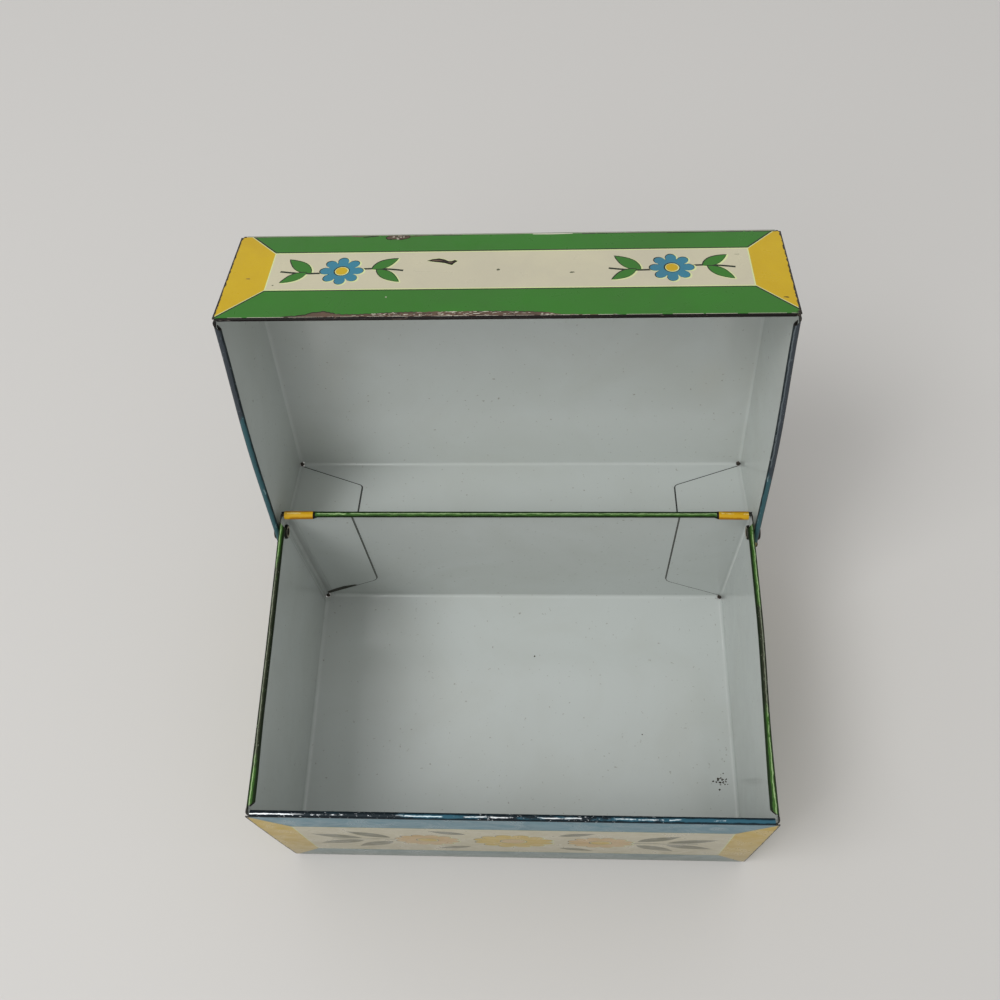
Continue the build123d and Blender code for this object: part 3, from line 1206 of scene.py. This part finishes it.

    def build(self) -> bpy.types.Object:
        """Makes the printed tray, dresses it and lets it ride.

        Returns:
            The tray's object.
        """
        mesh = self.copy_form()
        self.measure(mesh)
        number = {ink: i for i, ink in enumerate(self.inks)}
        self.prints = self.drawings()
        for face in mesh.faces:
            face.material_index = UNPRINTED
        for side, drawing in self.prints.items():
            print_on(mesh, self.flat(side), drawing, number)
        for side, lining in self.linings().items():
            flat = self.flat(side, inner=True)
            mesh.normal_update()
            if side in (Side.FRONT, Side.BACK):
                lining.shapes += self.seams(mesh, flat, self.seam_width)
                tabs = Flat(flat.normal, flat.offset + SHEET, flat.right, flat.up)
                seam_dirt_and_shadow = self.seams(mesh, tabs, self.tab_dirt_and_shadow) + self.packed_dirt_and_shadow(side, tabs)
                print_on(mesh, tabs, Drawing(Ink.ENAMEL, seam_dirt_and_shadow), number)
            if side is not self.closed_end:
                lining.shapes += self.corner_dirt_and_shade(flat)
            print_on(mesh, flat, lining, number)
        mesh.normal_update()
        self.cut_rest(mesh, self.cuts, Vector((1, 0, 0)))
        way = -1 if self.mouth_up else 1
        self.cut_rest(mesh, [self.mouth + way * deep for deep in self.corner_deep], Vector((0, 0, 1)))
        for face in mesh.faces:
            if face.material_index == UNPRINTED:
                face.material_index = number[self.ink_of(face)]
        self.cut_grid(mesh)
        self.store(mesh)
        for face in mesh.faces:
            face.smooth = True
        mesh.normal_update()
        for edge in mesh.edges:
            edge.smooth = edge.calc_face_angle(math.pi) < SHARP_FOLD
        for vert in mesh.verts:
            vert.co = self.bow(vert.co)
        bmesh.ops.transform(mesh, matrix=self.to_own.inverted(), verts=mesh.verts)
        holes = sum(1 for edge in mesh.edges if not edge.is_manifold)
        data = bpy.data.meshes.new(self.piece)
        mesh.to_mesh(data)
        mesh.free()
        for ink in self.inks:
            data.materials.append(MATERIALS[ink])
        tray = bpy.data.objects.new(self.piece, data)
        bpy.context.scene.collection.objects.link(tray)
        shading = tray.modifiers.new("even_shading", "WEIGHTED_NORMAL")
        shading.keep_sharp = True
        shading.weight = 100
        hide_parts(self.node)
        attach(tray, self.body)
        LOG.info("%s: %d faces, %d open edges", self.piece, len(data.polygons), holes)
        return tray

    def cut_rest(self, mesh: bmesh.types.BMesh, places: Sequence[float], normal: Vector) -> None:
        """Cuts the beads and folds where the ink on them changes.

        Args:
            mesh: the tray's mesh.
            places: the places along the normal.
            normal: the normal of the cuts.
        """
        for place in places:
            faces = [face for face in mesh.faces if face.material_index == UNPRINTED]
            parts = set(faces) | {e for f in faces for e in f.edges} | {v for f in faces for v in f.verts}
            bmesh.ops.bisect_plane(mesh, geom=list(parts), dist=1e-5, plane_co=normal * place, plane_no=normal)

    def store(self, mesh: bmesh.types.BMesh) -> None:
        """Stores what the finishes read: the place on the unbent tray, the nearest edge, and the rubbing.

        Args:
            mesh: the tray's mesh.
        """
        place = mesh.verts.layers.float_vector.new("tray_place")
        edge_gap = mesh.verts.layers.float.new("edge_gap")
        rub = mesh.verts.layers.float.new("rub")
        crease = mesh.verts.layers.float.new("crease")
        fade_and_shade = mesh.verts.layers.float.new("fade_and_shade")
        wall_depth = mesh.verts.layers.float.new("wall_depth")
        for vert in mesh.verts:
            vert[place] = vert.co
            vert[edge_gap] = self.gaps(vert.co)[1]
            vert[rub] = min(1.0, self.light_rub + sum(patch.at(vert.co) for patch in self.rubs))
            vert[fade_and_shade] = self.faded_and_shaded(vert.co)
            vert[crease] = max(fold.at(vert.co) for fold in self.creases)
            depth = min(self.half - abs(vert.co.x), vert.co.y - self.front, self.back - vert.co.y)
            # The rear rim's outer dark line is widened as painted shadow of the gap behind it.
            if self.back - vert.co.y < self.bead and depth > 0.05:
                depth = max(depth - self.rear_gap_shade, 0.0)
            vert[wall_depth] = min(depth, 3.0)


def swell(value: float, low: float, high: float) -> float:
    """A smooth hump between two places.

    Args:
        value: where it is read.
        low: where the hump starts.
        high: where it ends.

    Returns:
        0 outside, and 1 in the middle.
    """
    share = min(max((value - low) / (high - low), 0.0), 1.0)
    return math.sin(math.pi * share) ** 2


def ease(value: float, low: float, high: float) -> float:
    """A smooth step from 0 to 1 between two places."""
    share = min(max((value - low) / (high - low), 0.0), 1.0)
    return share * share * (3 - 2 * share)


@dataclass
class BaseTray(PrintedTray):
    """The base: floor, walls and the rim, curled inward all round."""

    node: str = "base_tray"
    piece: str = "base_sheet"
    body: str = "base"
    bead: float = 1.7
    light_rub: float = 0.16
    rubs: tuple[Rub, ...] = (
        Rub((-67.7, -22.0, 68.5), (-67.7, 20.0, 68.5), 6.0, 0.6),
        Rub((67.7, -8.0, 68.5), (67.7, 9.0, 68.5), 6.0, 0.6),
        # Its strength also lights the crest of the front curl at the left end: a painted highlight.
        Rub((-67.7, -42.0, 68.5), (-57.0, -42.0, 68.5), 3.0, 0.9),
        Rub((-52.0, -42.0, 68.5), (-30.0, -42.0, 68.5), 3.0, 0.5),
        Rub((-10.0, -42.0, 68.5), (34.0, -42.0, 68.5), 3.0, 0.35),
    )
    # Where the sheet is painted darker along its corners and folds: painted shade in the inner corners of the lining,
    # and on the print a dark fold line that is partly dirt, partly painted shade.
    creases: tuple[Rub, ...] = (
        Rub((-67.7, -42.0, 0.0), (-67.7, -42.0, 68.5), 3.0, 0.75),
        Rub((67.7, -42.0, 0.0), (67.7, -42.0, 68.5), 3.0, 0.75),
        Rub((-67.7, 42.0, 0.0), (-67.7, 42.0, 68.5), 4.5, 1.0),
        Rub((67.7, 42.0, 0.0), (67.7, 42.0, 68.5), 3.0, 0.6),
    )
    cuts: tuple[float, ...] = (-58.2, -57.6, 57.6, 58.2)

    def drawings(self) -> dict[Side, Drawing]:
        """What is printed on each outer side."""
        half, low, high = self.half, self.low, self.high
        depth = (self.back - self.front) / 2
        front = Drawing(Ink.BLUE, Border(14.2, 15.0, 9.4, Ink.BLUE, Ink.YELLOW).shapes(half, low, high))
        for centre, radius, ink in ((-24.0, 9.0, Ink.ORANGE), (0.0, 11.0, Ink.YELLOW), (24.0, 9.0, Ink.ORANGE)):
            eye = Ink.ORANGE if ink is Ink.YELLOW else Ink.YELLOW
            front.shapes += Blossom((centre, 34.0), radius, 12, ink, eye, 0.0, 0.22, 0.3).shapes()
        pairs = (((34, 37), (45, 47)), ((34, 31), (45, 20.5)), ((42, 35.5), (55.5, 42)), ((42, 32), (55.5, 25.5)))
        inner = (((12.5, 44.5), (22.5, 49.5)), ((12.5, 23.5), (22.5, 18.5)))
        for way in (-1, 1):
            stem = [(way * (33 + 2.2 * s), 34 + 0.8 * math.sin(s * 0.9)) for s in range(9)]
            front.shapes.append(stroke(stem, 0.8, Ink.OLIVE))
            for root, tip in pairs + inner:
                leaf = Leaf((way * root[0], root[1]), (way * tip[0], tip[1]), (0.19, 0.19), Ink.OLIVE)
                front.shapes.append(leaf.shapes()[2])
        side = Drawing(Ink.GREEN, Border(9.0, 9.0, 9.0, Ink.GREEN, Ink.YELLOW).shapes(depth, low, high))
        side.shapes += Sprig((0.0, 34.0), 1.5).shapes()
        back = Border(12.0, 12.0, 9.6, Ink.GREEN, Ink.YELLOW, Corner.BUTT)
        back_drawing = Drawing(Ink.GREEN, back.shapes(half, low, high))
        for centre in (-34.0, 0.0, 34.0):
            back_drawing.shapes += Sprig((centre, 34.0), 1.0).shapes()
        return {
            Side.FRONT: front,
            Side.BACK: back_drawing,
            Side.LEFT: side,
            Side.RIGHT: side,
            Side.BOTTOM: Drawing(Ink.TIN),
        }

    def linings(self) -> dict[Side, Drawing]:
        """What has marked the inside of each side."""
        draw = Random(12)
        specks = [blot((4.5, 20.3), (0.3, 0.26), Ink.RUST, 6, 0.3, 12), blot((39.0, -4.8), (0.22, 0.2), Ink.RUST, 7, 0.3, 12)]
        for number in range(22):
            centre = (62.6 + draw.gauss(0.0, 0.9), -19.4 + draw.gauss(0.0, 1.5))
            size = draw.uniform(0.12, 0.36)
            specks.append(blot(centre, (size * draw.uniform(0.8, 1.6), size), Ink.RUST, 50 + number, 0.45, 10))
        return {side: Drawing(Ink.ENAMEL) for side in WALLS} | {Side.BOTTOM: Drawing(Ink.ENAMEL, specks)}

    def packed_dirt_and_shadow(self, side: Side, flat: Flat) -> list[Shape]:
        """A dark wedge along the lower edge of the tab at the left of the back wall: packed dirt, and painted shadow
        under the tab's edge.
        """
        if side is not Side.BACK:
            return []
        line = [(-66.6, 1.4), (-60.0, 6.2), (-54.6, 9.9), (-56.0, 10.4), (-60.0, 8.8), (-63.4, 6.4), (-66.6, 3.6)]
        return [polygon([flat.flatten(Vector((x, self.back, z))) for x, z in line], Ink.SEAM)]

    def faded_and_shaded(self, point: Vector) -> float:
        """How far the print is faded: a little all over, and on the front wall more towards its foot, where the
        darkening is painted shade.
        """
        if point.y > self.front + 0.5:
            return 0.1
        return 0.2 + 0.5 * max(1 - point.z / self.high, 0.0) ** 1.5

    def bow(self, point: Vector) -> Vector:
        """Where a point lies once the sheet has bowed: the mouth is pinched towards the front.

        The ends of the rear rim are pressed less tightly than the rest of it.

        Args:
            point: the point on the straight tray.

        Returns:
            Its place on the real one.
        """
        x, y, z = point
        rise = (z / self.high) ** 1.5 if z > 0 else 0.0
        if x < 0:
            inward = self.left_pinch * (1 - ((y - self.front) / (34.0 - self.front)) ** 1.5) if y < 34.0 else 0.0
        else:
            inward = self.right_pinch * (1 - ease(y, -25.0, 12.0))
        in_rim = point.z > self.high - self.bead - 0.02
        if in_rim and abs(x) > self.half - self.bead - 0.02 and y > self.front + 1.95:
            loose = 0.28 * (1 - ease(y, -38.0, -16.0))
            x = math.copysign(self.half - (self.half - abs(x)) * (1 + loose), x)
        x -= rise * inward * x / self.half
        if in_rim and point.y > self.back - self.bead - 0.02:
            loose = ease(abs(point.x), 56.8, 58.6) * (abs(point.x) < self.half - 1.1)
            y = self.back - (self.back - y) * (1 + 0.42 * loose)
            z += (z - self.high + self.bead) * 0.28 * loose
        return Vector((x, y, z))

    rear_gap_shade = 0.3
    left_pinch = 1.6
    right_pinch = 0.95


@dataclass
class LidTray(PrintedTray):
    """The lid: top, deep front skirt, short back skirt and side panels."""

    node: str = "lid_tray"
    piece: str = "lid_sheet"
    body: str = "lid"
    bead: float = 1.6
    light_rub: float = 0.2
    mouth_up = False
    rubs: tuple[Rub, ...] = (
        Rub((-50.0, -44.1, 58.2), (27.0, -44.1, 58.2), 3.0, 0.6),
        Rub((27.0, -44.1, 58.2), (69.0, -44.1, 58.2), 2.0, 0.25),
        Rub((-42.0, -44.1, 93.8), (-20.0, -44.1, 93.8), 3.0, 0.5),
        Rub((-69.6, -44.1, 60.0), (-69.6, -44.1, 93.8), 2.0, 0.3),
        Rub((-69.6, -40.0, 58.2), (-69.6, -12.0, 58.2), 5.0, 0.6),
        Rub((69.6, -40.0, 58.2), (69.6, 6.0, 58.2), 5.0, 0.75),
    )
    # Where the sheet is painted darker along its corners and folds: painted shade in the inner corners of the lining,
    # and on the print a dark fold line that is partly dirt, partly painted shade.
    creases: tuple[Rub, ...] = (
        Rub((-69.6, -44.1, 58.0), (-69.6, -44.1, 93.8), 3.0, 1.0),
        Rub((69.6, -44.1, 58.0), (69.6, -44.1, 93.8), 3.0, 1.0),
        Rub((-69.6, -44.1, 93.8), (69.6, -44.1, 93.8), 3.0, 1.9),
        Rub((-69.6, 43.9, 60.0), (-69.6, 43.9, 93.8), 3.0, 0.6),
        Rub((69.6, 43.9, 60.0), (69.6, 43.9, 93.8), 3.0, 0.6),
    )

    @property
    def to_own(self) -> Matrix:
        """From the row frame, where the lid is open, to millimetres with the lid shut."""
        joint = next(j for j in frame["joints"] if j["child"] == self.body)
        pivot = Matrix.Translation(Vector(joint["pos_m"]))
        shut = Matrix.Rotation(math.radians(max(joint["range_deg"])), 4, Vector(joint["axis"]))
        return Matrix.Scale(1 / MM, 4) @ pivot @ shut @ pivot.inverted()

    def drawings(self) -> dict[Side, Drawing]:
        """What is printed on each outer side."""
        half, low, high = self.half, self.low, self.high
        front_border = Border(11.5, 8.5, 9.9, Ink.GREEN, Ink.YELLOW, square=True, aside=0.65)
        front = Drawing(Ink.GREEN, front_border.shapes(half, low, high))
        for centre in (-41.0, 41.0):
            front.shapes += Sprig((centre, 77.4)).shapes()
        front.shapes += self.marks() + self.worn_edge() + self.worn_fold()
        side = Border(8.6, 8.6, 9.7, Ink.BLUE, Ink.YELLOW).shapes((self.back - self.front) / 2, low, high)
        side += Sprig((0.0, 77.0)).shapes()
        top_border = Border(12.0, 12.0, 12.0, Ink.BLUE, Ink.YELLOW)
        top = Drawing(Ink.BLUE, top_border.shapes(half, self.front, self.back))
        for x, y in ((-38.0, 0.0), (38.0, 0.0)):
            top.shapes += Sprig((x, y), 1.0).shapes()
        top.shapes += Sprig((0.0, 0.0), 1.5, ink=Ink.ORANGE).shapes()
        back = Border(8.0, 8.0, 9.6, Ink.GREEN, Ink.YELLOW, Corner.BUTT)
        return {
            Side.FRONT: front,
            Side.BACK: Drawing(Ink.GREEN, back.shapes(half, self.back_mouth, high)),
            Side.LEFT: Drawing(Ink.BLUE, side),
            Side.RIGHT: Drawing(Ink.BLUE, list(side)),
            Side.TOP: top,
        }

    def marks(self) -> list[Shape]:
        """The scratch in the front panel, and the small flecks round it."""
        below = [(-19.9, 81.3), (-18.0, 80.8), (-16.4, 80.5), (-15.2, 80.2), (-14.2, 79.7), (-13.4, 79.4), (-12.9, 80.2)]
        above = [(-12.1, 81.1), (-12.9, 81.6), (-13.6, 81.1), (-14.4, 81.1), (-15.4, 81.8), (-16.8, 82.3), (-18.6, 82.0)]
        scratch = polygon(below + above, Ink.RUST)
        flecks = [
            blot((-1.8, 77.3), (0.42, 0.4), Ink.OLIVE, 31, 0.3, 12),
            blot((16.5, 75.9), (0.6, 0.3), Ink.OLIVE, 32, 0.5, 12),
            blot((-28.6, 66.7), (0.22, 0.2), Ink.CHIP, 33, 0.3, 12),
            blot((-64.1, 74.6), (0.6, 0.16), Ink.PRIMER, 34, 0.4, 12),
            blot((67.0, 65.2), (0.7, 0.2), Ink.RUST, 35, 0.5, 12),
            blot((57.4, 82.6), (0.6, 0.1), Ink.OLIVE, 36, 0.4, 12),
            blot((-57.4, 71.8), (0.26, 0.2), Ink.OLIVE, 37, 0.3, 12),
        ]
        pale = grown(scratch, 0.16, Ink.HALO)
        first = blot((-17.3, 81.4), (1.5, 0.24), Ink.PRIMER, 38, 0.3, 14)
        second = blot((-13.9, 80.6), (0.6, 0.2), Ink.PRIMER, 39, 0.3, 12)
        return [pale, scratch, first, second, *flecks]

    def worn_edge(self) -> list[Shape]:
        """The loss along the skirt's free edge: primer with a dark outline, chips, and a broken pale line along the
        edge that is a painted highlight on the curl's shoulder.
        """
        draw = Random(5)
        edge = self.low + self.bead / 2
        profile = [
            (-53.0, 0.2), (-49.4, 0.7), (-47.6, 1.0), (-45.9, 1.9), (-43.0, 2.3), (-41.2, 1.8), (-38.4, 1.1),
            (-33.6, 1.1), (-29.3, 1.6), (-19.8, 1.9), (-7.9, 1.9), (2.0, 1.8), (9.9, 1.4), (13.9, 0.5), (24.0, 0.15),
        ]

        def height(x: float) -> float:
            for (left, low), (right, high) in zip(profile, profile[1:]):
                if left <= x <= right:
                    return low + (high - low) * (x - left) / (right - left)
            return 0.15

        steps = [-53.0 + 77.0 * i / 150 for i in range(151)]
        rim = [(x, edge + height(x) + draw.uniform(-0.14, 0.14)) for x in steps]
        parts = [polygon([(-53.0, edge - 0.5), (24.0, edge - 0.5), *reversed(rim)], Ink.PRIMER)]
        parts += [stroke(rim[:26], 0.34, Ink.RUST), stroke(rim[26:64], 0.2, Ink.KEYLINE), stroke(rim[90:124], 0.18, Ink.RUST)]
        for number in range(170):
            x = draw.triangular(-36.0, 26.0, -26.0)
            up = draw.uniform(0.15, 1.0) * max(height(x), 0.4)
            ink = Ink.CHIP if number % 5 > 1 else Ink.RUST
            size = (draw.uniform(0.12, 0.6), draw.uniform(0.05, 0.13))
            parts.append(blot((x, edge + up), size, ink, 100 + number, 0.45, 10))
        # A broken pale line along the edge: a painted highlight on the curl's shoulder.
        x = -66.0
        while x < 69.0:
            run = draw.uniform(1.5, 9.0)
            parts.append(stroke([(x, edge + 0.1), (min(x + run, 69.2), edge + 0.1)], draw.uniform(0.14, 0.26), Ink.CHIP))
            x += run + draw.uniform(0.2, 2.4)
        return parts

    def worn_fold(self) -> list[Shape]:
        """The loss where the front skirt folds into the top."""
        draw = Random(9)
        fold = self.high - 1.2
        parts = [
            blot((-28.2, fold - 0.8), (2.8, 1.4), Ink.RUST, 21, 0.45),
            blot((-28.2, fold - 0.8), (2.5, 1.15), Ink.PRIMER, 21, 0.5),
            blot((-38.6, fold - 0.1), (2.2, 0.35), Ink.PRIMER, 22, 0.4),
            stroke([(-37.4, fold - 0.9), (-35.6, fold - 0.5), (-33.4, fold - 0.2)], 0.3, Ink.RUST),
            stroke([(-25.4, fold - 0.7), (-22.8, fold - 0.4), (-20.6, fold)], 0.25, Ink.PRIMER),
            stroke([(6.6, fold - 0.1), (11.0, fold - 0.2), (16.8, fold - 0.05)], 0.4, Ink.CHIP),
        ]
        x = -66.0
        while x < 68.0:
            run, heavy = draw.uniform(1.2, 6.0), -24.0 < x < -13.0 or x > 17.0
            line = [(x, fold - 0.12), (min(x + run, 68.6), fold - 0.12)]
            if heavy or not 6.0 < x + run < 17.0:
                parts.insert(0, stroke(line, draw.uniform(0.34, 0.6) if heavy else draw.uniform(0.1, 0.34), Ink.KEYLINE))
            x += run + draw.uniform(0.0, 0.5 if heavy else 1.5)
        for number in range(24):
            centre = (draw.uniform(-30.4, -26.0), fold - draw.uniform(0.0, 1.7))
            ink = (Ink.CHIP, Ink.RUST, Ink.OLIVE)[number % 3]
            parts.append(blot(centre, (draw.uniform(0.15, 0.5), draw.uniform(0.08, 0.2)), ink, 300 + number, 0.4, 10))
        return parts

    def rim_ink(self, side: Side, printed: Ink) -> Ink:
        """The finish of the curled edge: near black in front, painted shade of the curl with some bare dark metal, and
        slate at the sides.
        """
        if side is Side.FRONT:
            return Ink.DARK_RIM
        return Ink.SLATE_RIM if side in (Side.LEFT, Side.RIGHT) else RIMS.get(printed, Ink.DARK_RIM)

    def linings(self) -> dict[Side, Drawing]:
        """What has marked the inside of each side."""
        return {side: Drawing(Ink.ENAMEL) for side in (*WALLS, Side.TOP)}

    def bow(self, point: Vector) -> Vector:
        """Where a point lies once the sheet has bowed: the side panels belly out along their free edge.

        The front curl is pressed flatter than the others.

        Args:
            point: the point on the straight tray.

        Returns:
            Its place on the real one.
        """
        x, y, z = point
        drop = ease(self.high - z, 0.0, self.high - self.low)
        share = ease(abs(x) / self.half, 0.9, 1.0)
        x += math.copysign(0.75 * drop * share * swell(y, self.front, self.back), x)
        in_curl = point.y < self.front + self.bead + 0.02 and z < self.low + self.bead + 0.02
        if in_curl and abs(point.x) < self.half - 1.15:
            y = self.front + (y - self.front) * 0.6
            z += 0.5 * ((self.low + self.bead + 0.02 - z) / (self.bead + 0.02)) ** 1.4
        return Vector((x, y, z))


@dataclass(frozen=True)
class CornerDirt:
    """Grime packed into the relief notches at the four corners of a tray's closed end."""

    piece: str
    tray: PrintedTray
    size: float = 0.72
    seed: int = 4

    def build(self) -> bpy.types.Object:
        """Makes the four lumps and lets them ride with their tray.

        Returns:
            The object that holds them.
        """
        draw = Random(self.seed)
        tray, inset = self.tray, self.size + 0.16
        level = tray.low + inset if tray.mouth_up else tray.high - inset
        mesh = bmesh.new()
        for x in (inset - tray.half, tray.half - inset):
            for y in (tray.front + inset, tray.back - inset):
                place = Matrix.Translation((x, y, level))
                lump = bmesh.ops.create_icosphere(mesh, subdivisions=2, radius=self.size, matrix=place)
                for vert in lump["verts"]:
                    vert.co += (vert.co - place.translation) * draw.uniform(-0.2, 0.1)
        bmesh.ops.transform(mesh, matrix=tray.to_own.inverted(), verts=mesh.verts)
        data = bpy.data.meshes.new(self.piece)
        mesh.to_mesh(data)
        mesh.free()
        data.materials.append(CornerGrime().material())
        corner_shade = bpy.data.objects.new(self.piece, data)
        bpy.context.scene.collection.objects.link(corner_shade)
        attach(corner_shade, tray.body)
        LOG.info("%s: %d faces", self.piece, len(data.polygons))
        return corner_shade


@dataclass(frozen=True)
class CornerGrime:
    """Dull, nearly black dirt."""

    dark: tuple[float, float, float] = (34, 30, 26)
    light: tuple[float, float, float] = (66, 58, 48)

    def material(self) -> bpy.types.Material:
        """The dirt's material."""
        board = Board("corner_grime")
        place = board.add("ShaderNodeTexCoord", {}).outputs["Object"]
        cloud = board.add("ShaderNodeTexNoise", {"Vector": place, "Scale": 2500.0, "Detail": 4.0, "Roughness": 0.7})
        share = board.between(cloud.outputs["Fac"], 0.4, 0.65)
        board.put(board.shader, "Base Color", board.mix(share, linear(*self.dark), linear(*self.light)))
        board.put(board.shader, "Roughness", 0.9)
        board.relief(cloud.outputs["Fac"], 0.6, 0.0002)
        return board.material


@dataclass(frozen=True)
class HingeEyelet:
    """A tubular eyelet of darkened brass that pins one side of the lid to the base."""

    node: str

    def dress(self, finish: bpy.types.Material) -> None:
        """Gives the eyelet its finish.

        Args:
            finish: the material.
        """
        eyelet = frame["nodes"][self.node]
        eyelet.data.materials.clear()
        eyelet.data.materials.append(finish)
        LOG.info("%s dressed", self.node)


@dataclass(frozen=True)
class AgedBrass:
    """Darkened brass, brighter in a band round the bore; darker inside the band as painted shade of the bore, and
    darker outside it.
    """

    dark: tuple[float, float, float] = (30, 28, 22)
    bright: tuple[float, float, float] = (176, 166, 144)

    def material(self) -> bpy.types.Material:
        """The brass's material."""
        board = Board("aged_brass_finish")
        place = board.add("ShaderNodeTexCoord", {}).outputs["Object"]
        cloud = board.add("ShaderNodeTexNoise", {"Vector": place, "Scale": 900.0, "Detail": 5.0, "Roughness": 0.65})
        pin = next(joint for joint in frame["joints"] if joint["child"] == "lid")["pos_m"]
        centred = board.add("ShaderNodeVectorMath", {0: place, 1: tuple(pin)}, operation="SUBTRACT").outputs[0]
        level = board.add("ShaderNodeVectorMath", {0: centred, 1: (0.0, 1 / MM, 1 / MM)}, operation="MULTIPLY")
        radius = board.add("ShaderNodeVectorMath", {0: level.outputs[0]}, operation="LENGTH").outputs["Value"]
        radius = board.sum_of("ADD", radius, board.sum_of("MULTIPLY", board.sum_of("SUBTRACT", cloud.outputs["Fac"], 0.5), 0.6))
        # Bright only in a band round the bore: darker inside it, painted shade of the bore, and darker outside it.
        ring = board.sum_of("MINIMUM", board.between(radius, 1.15, 1.3), board.between(radius, 1.65, 1.8, 1.0, 0.0))
        share = board.sum_of("MULTIPLY", board.between(cloud.outputs["Fac"], 0.3, 0.5, 0.3, 1.0), ring)
        board.put(board.shader, "Base Color", board.mix(share, linear(*self.dark), linear(*self.bright)))
        board.put(board.shader, "Metallic", 0.6)
        board.put(board.shader, "Roughness", board.between(share, 0.0, 1.0, 0.6, 0.35))
        board.relief(cloud.outputs["Fac"], 0.3, 0.00005)
        return board.material


# ---------------------------------------------------------------------------------------------------
# The studio
# ---------------------------------------------------------------------------------------------------


@dataclass(frozen=True)
class Studio:
    """A pale table top, soft lamps and the camera."""

    floor_size: float = 6.0
    floor_colour: tuple[float, float, float] = (200, 198, 195)
    ambient: float = 0.77
    camera_place: tuple[float, float, float] = (0.01359, -0.08531, 0.34631)
    camera_turn: tuple[float, float, float] = (30.09, 2.76, 1.31)  # degrees
    lens: float = 38.19
    shift: tuple[float, float] = (-0.0045, -0.0903)

    def floor(self) -> None:
        """The table top, a plain pale sheet."""
        mesh = bmesh.new()
        bmesh.ops.create_grid(mesh, x_segments=8, y_segments=8, size=self.floor_size / 2)
        data = bpy.data.meshes.new("table_top")
        mesh.to_mesh(data)
        mesh.free()
        board = Board("table_top_finish")
        board.put(board.shader, "Base Color", linear(*self.floor_colour))
        board.put(board.shader, "Roughness", 0.6)
        data.materials.append(board.material)
        table = bpy.data.objects.new("table_top", data)
        table.location.z = -0.0002
        bpy.context.scene.collection.objects.link(table)

    def lamp(self, name: str, place: Sequence[float], size: float, power: float) -> None:
        """A soft square lamp that looks at the box.

        Args:
            name: its name.
            place: where it hangs.
            size: its side.
            power: its power in watts.
        """
        light = bpy.data.lights.new(name, "AREA")
        light.shape = "SQUARE"
        light.size = size
        light.energy = power
        lamp = bpy.data.objects.new(name, light)
        lamp.location = place
        aim = Vector((0.0, 0.02, 0.05)) - Vector(place)
        lamp.rotation_euler = aim.to_track_quat("-Z", "Y").to_euler()
        bpy.context.scene.collection.objects.link(lamp)

    def world(self) -> None:
        """Even light from all round, which the camera sees as white."""
        world = bpy.data.worlds.new("studio")
        world.use_nodes = True
        tree = world.node_tree
        tree.nodes.clear()
        output = tree.nodes.new("ShaderNodeOutputWorld")
        light, white = (tree.nodes.new("ShaderNodeBackground") for _ in range(2))
        light.inputs["Strength"].default_value = self.ambient
        white.inputs["Strength"].default_value = 1.0
        rays = tree.nodes.new("ShaderNodeLightPath")
        seen = rays.outputs["Is Camera Ray"]
        for name in ("Is Glossy Ray", "Is Transmission Ray"):
            either = tree.nodes.new("ShaderNodeMath")
            either.operation = "MAXIMUM"
            tree.links.new(seen, either.inputs[0])
            tree.links.new(rays.outputs[name], either.inputs[1])
            seen = either.outputs[0]
        mixer = tree.nodes.new("ShaderNodeMixShader")
        tree.links.new(seen, mixer.inputs["Fac"])
        tree.links.new(light.outputs["Background"], mixer.inputs[1])
        tree.links.new(white.outputs["Background"], mixer.inputs[2])
        tree.links.new(mixer.outputs["Shader"], output.inputs["Surface"])
        bpy.context.scene.world = world

    def camera(self) -> None:
        """The camera, at the photograph's angle."""
        data = bpy.data.cameras.new("camera")
        data.lens = self.lens
        data.sensor_width = 36.0
        data.shift_x, data.shift_y = self.shift
        data.clip_start = 0.01
        camera = bpy.data.objects.new("camera", data)
        camera.location = self.camera_place
        camera.rotation_euler = [math.radians(angle) for angle in self.camera_turn]
        bpy.context.scene.collection.objects.link(camera)
        bpy.context.scene.camera = camera

    def build(self) -> None:
        """The whole studio."""
        bpy.context.scene.view_settings.view_transform = "Standard"
        self.floor()
        self.world()
        self.lamp("window", (-0.52, -0.25, 1.15), 0.45, 5.6)
        self.lamp("front_window", (-0.5, -0.75, 1.05), 0.6, 2.3)
        self.lamp("ceiling", (0.0, 0.05, 1.5), 2.2, 1.8)
        self.camera()


MATERIALS: dict[Ink, bpy.types.Material] = {}


def main() -> None:
    """Builds the box piece by piece, then the studio."""
    logging.basicConfig(level=logging.INFO, format="%(name)s: %(message)s")
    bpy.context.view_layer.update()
    MATERIALS.update({ink: finish.material() for ink, finish in FINISHES.items()})
    for tray, corner_shade in ((BaseTray(), "base_corner_dirt"), (LidTray(), "lid_corner_dirt")):
        tray.build()
        CornerDirt(corner_shade, tray).build()
    brass = AgedBrass().material()
    for node in ("hinge_eyelet_left", "hinge_eyelet_right"):
        HingeEyelet(node).dress(brass)
    Studio().build()


if __name__ == "__main__":
    main()
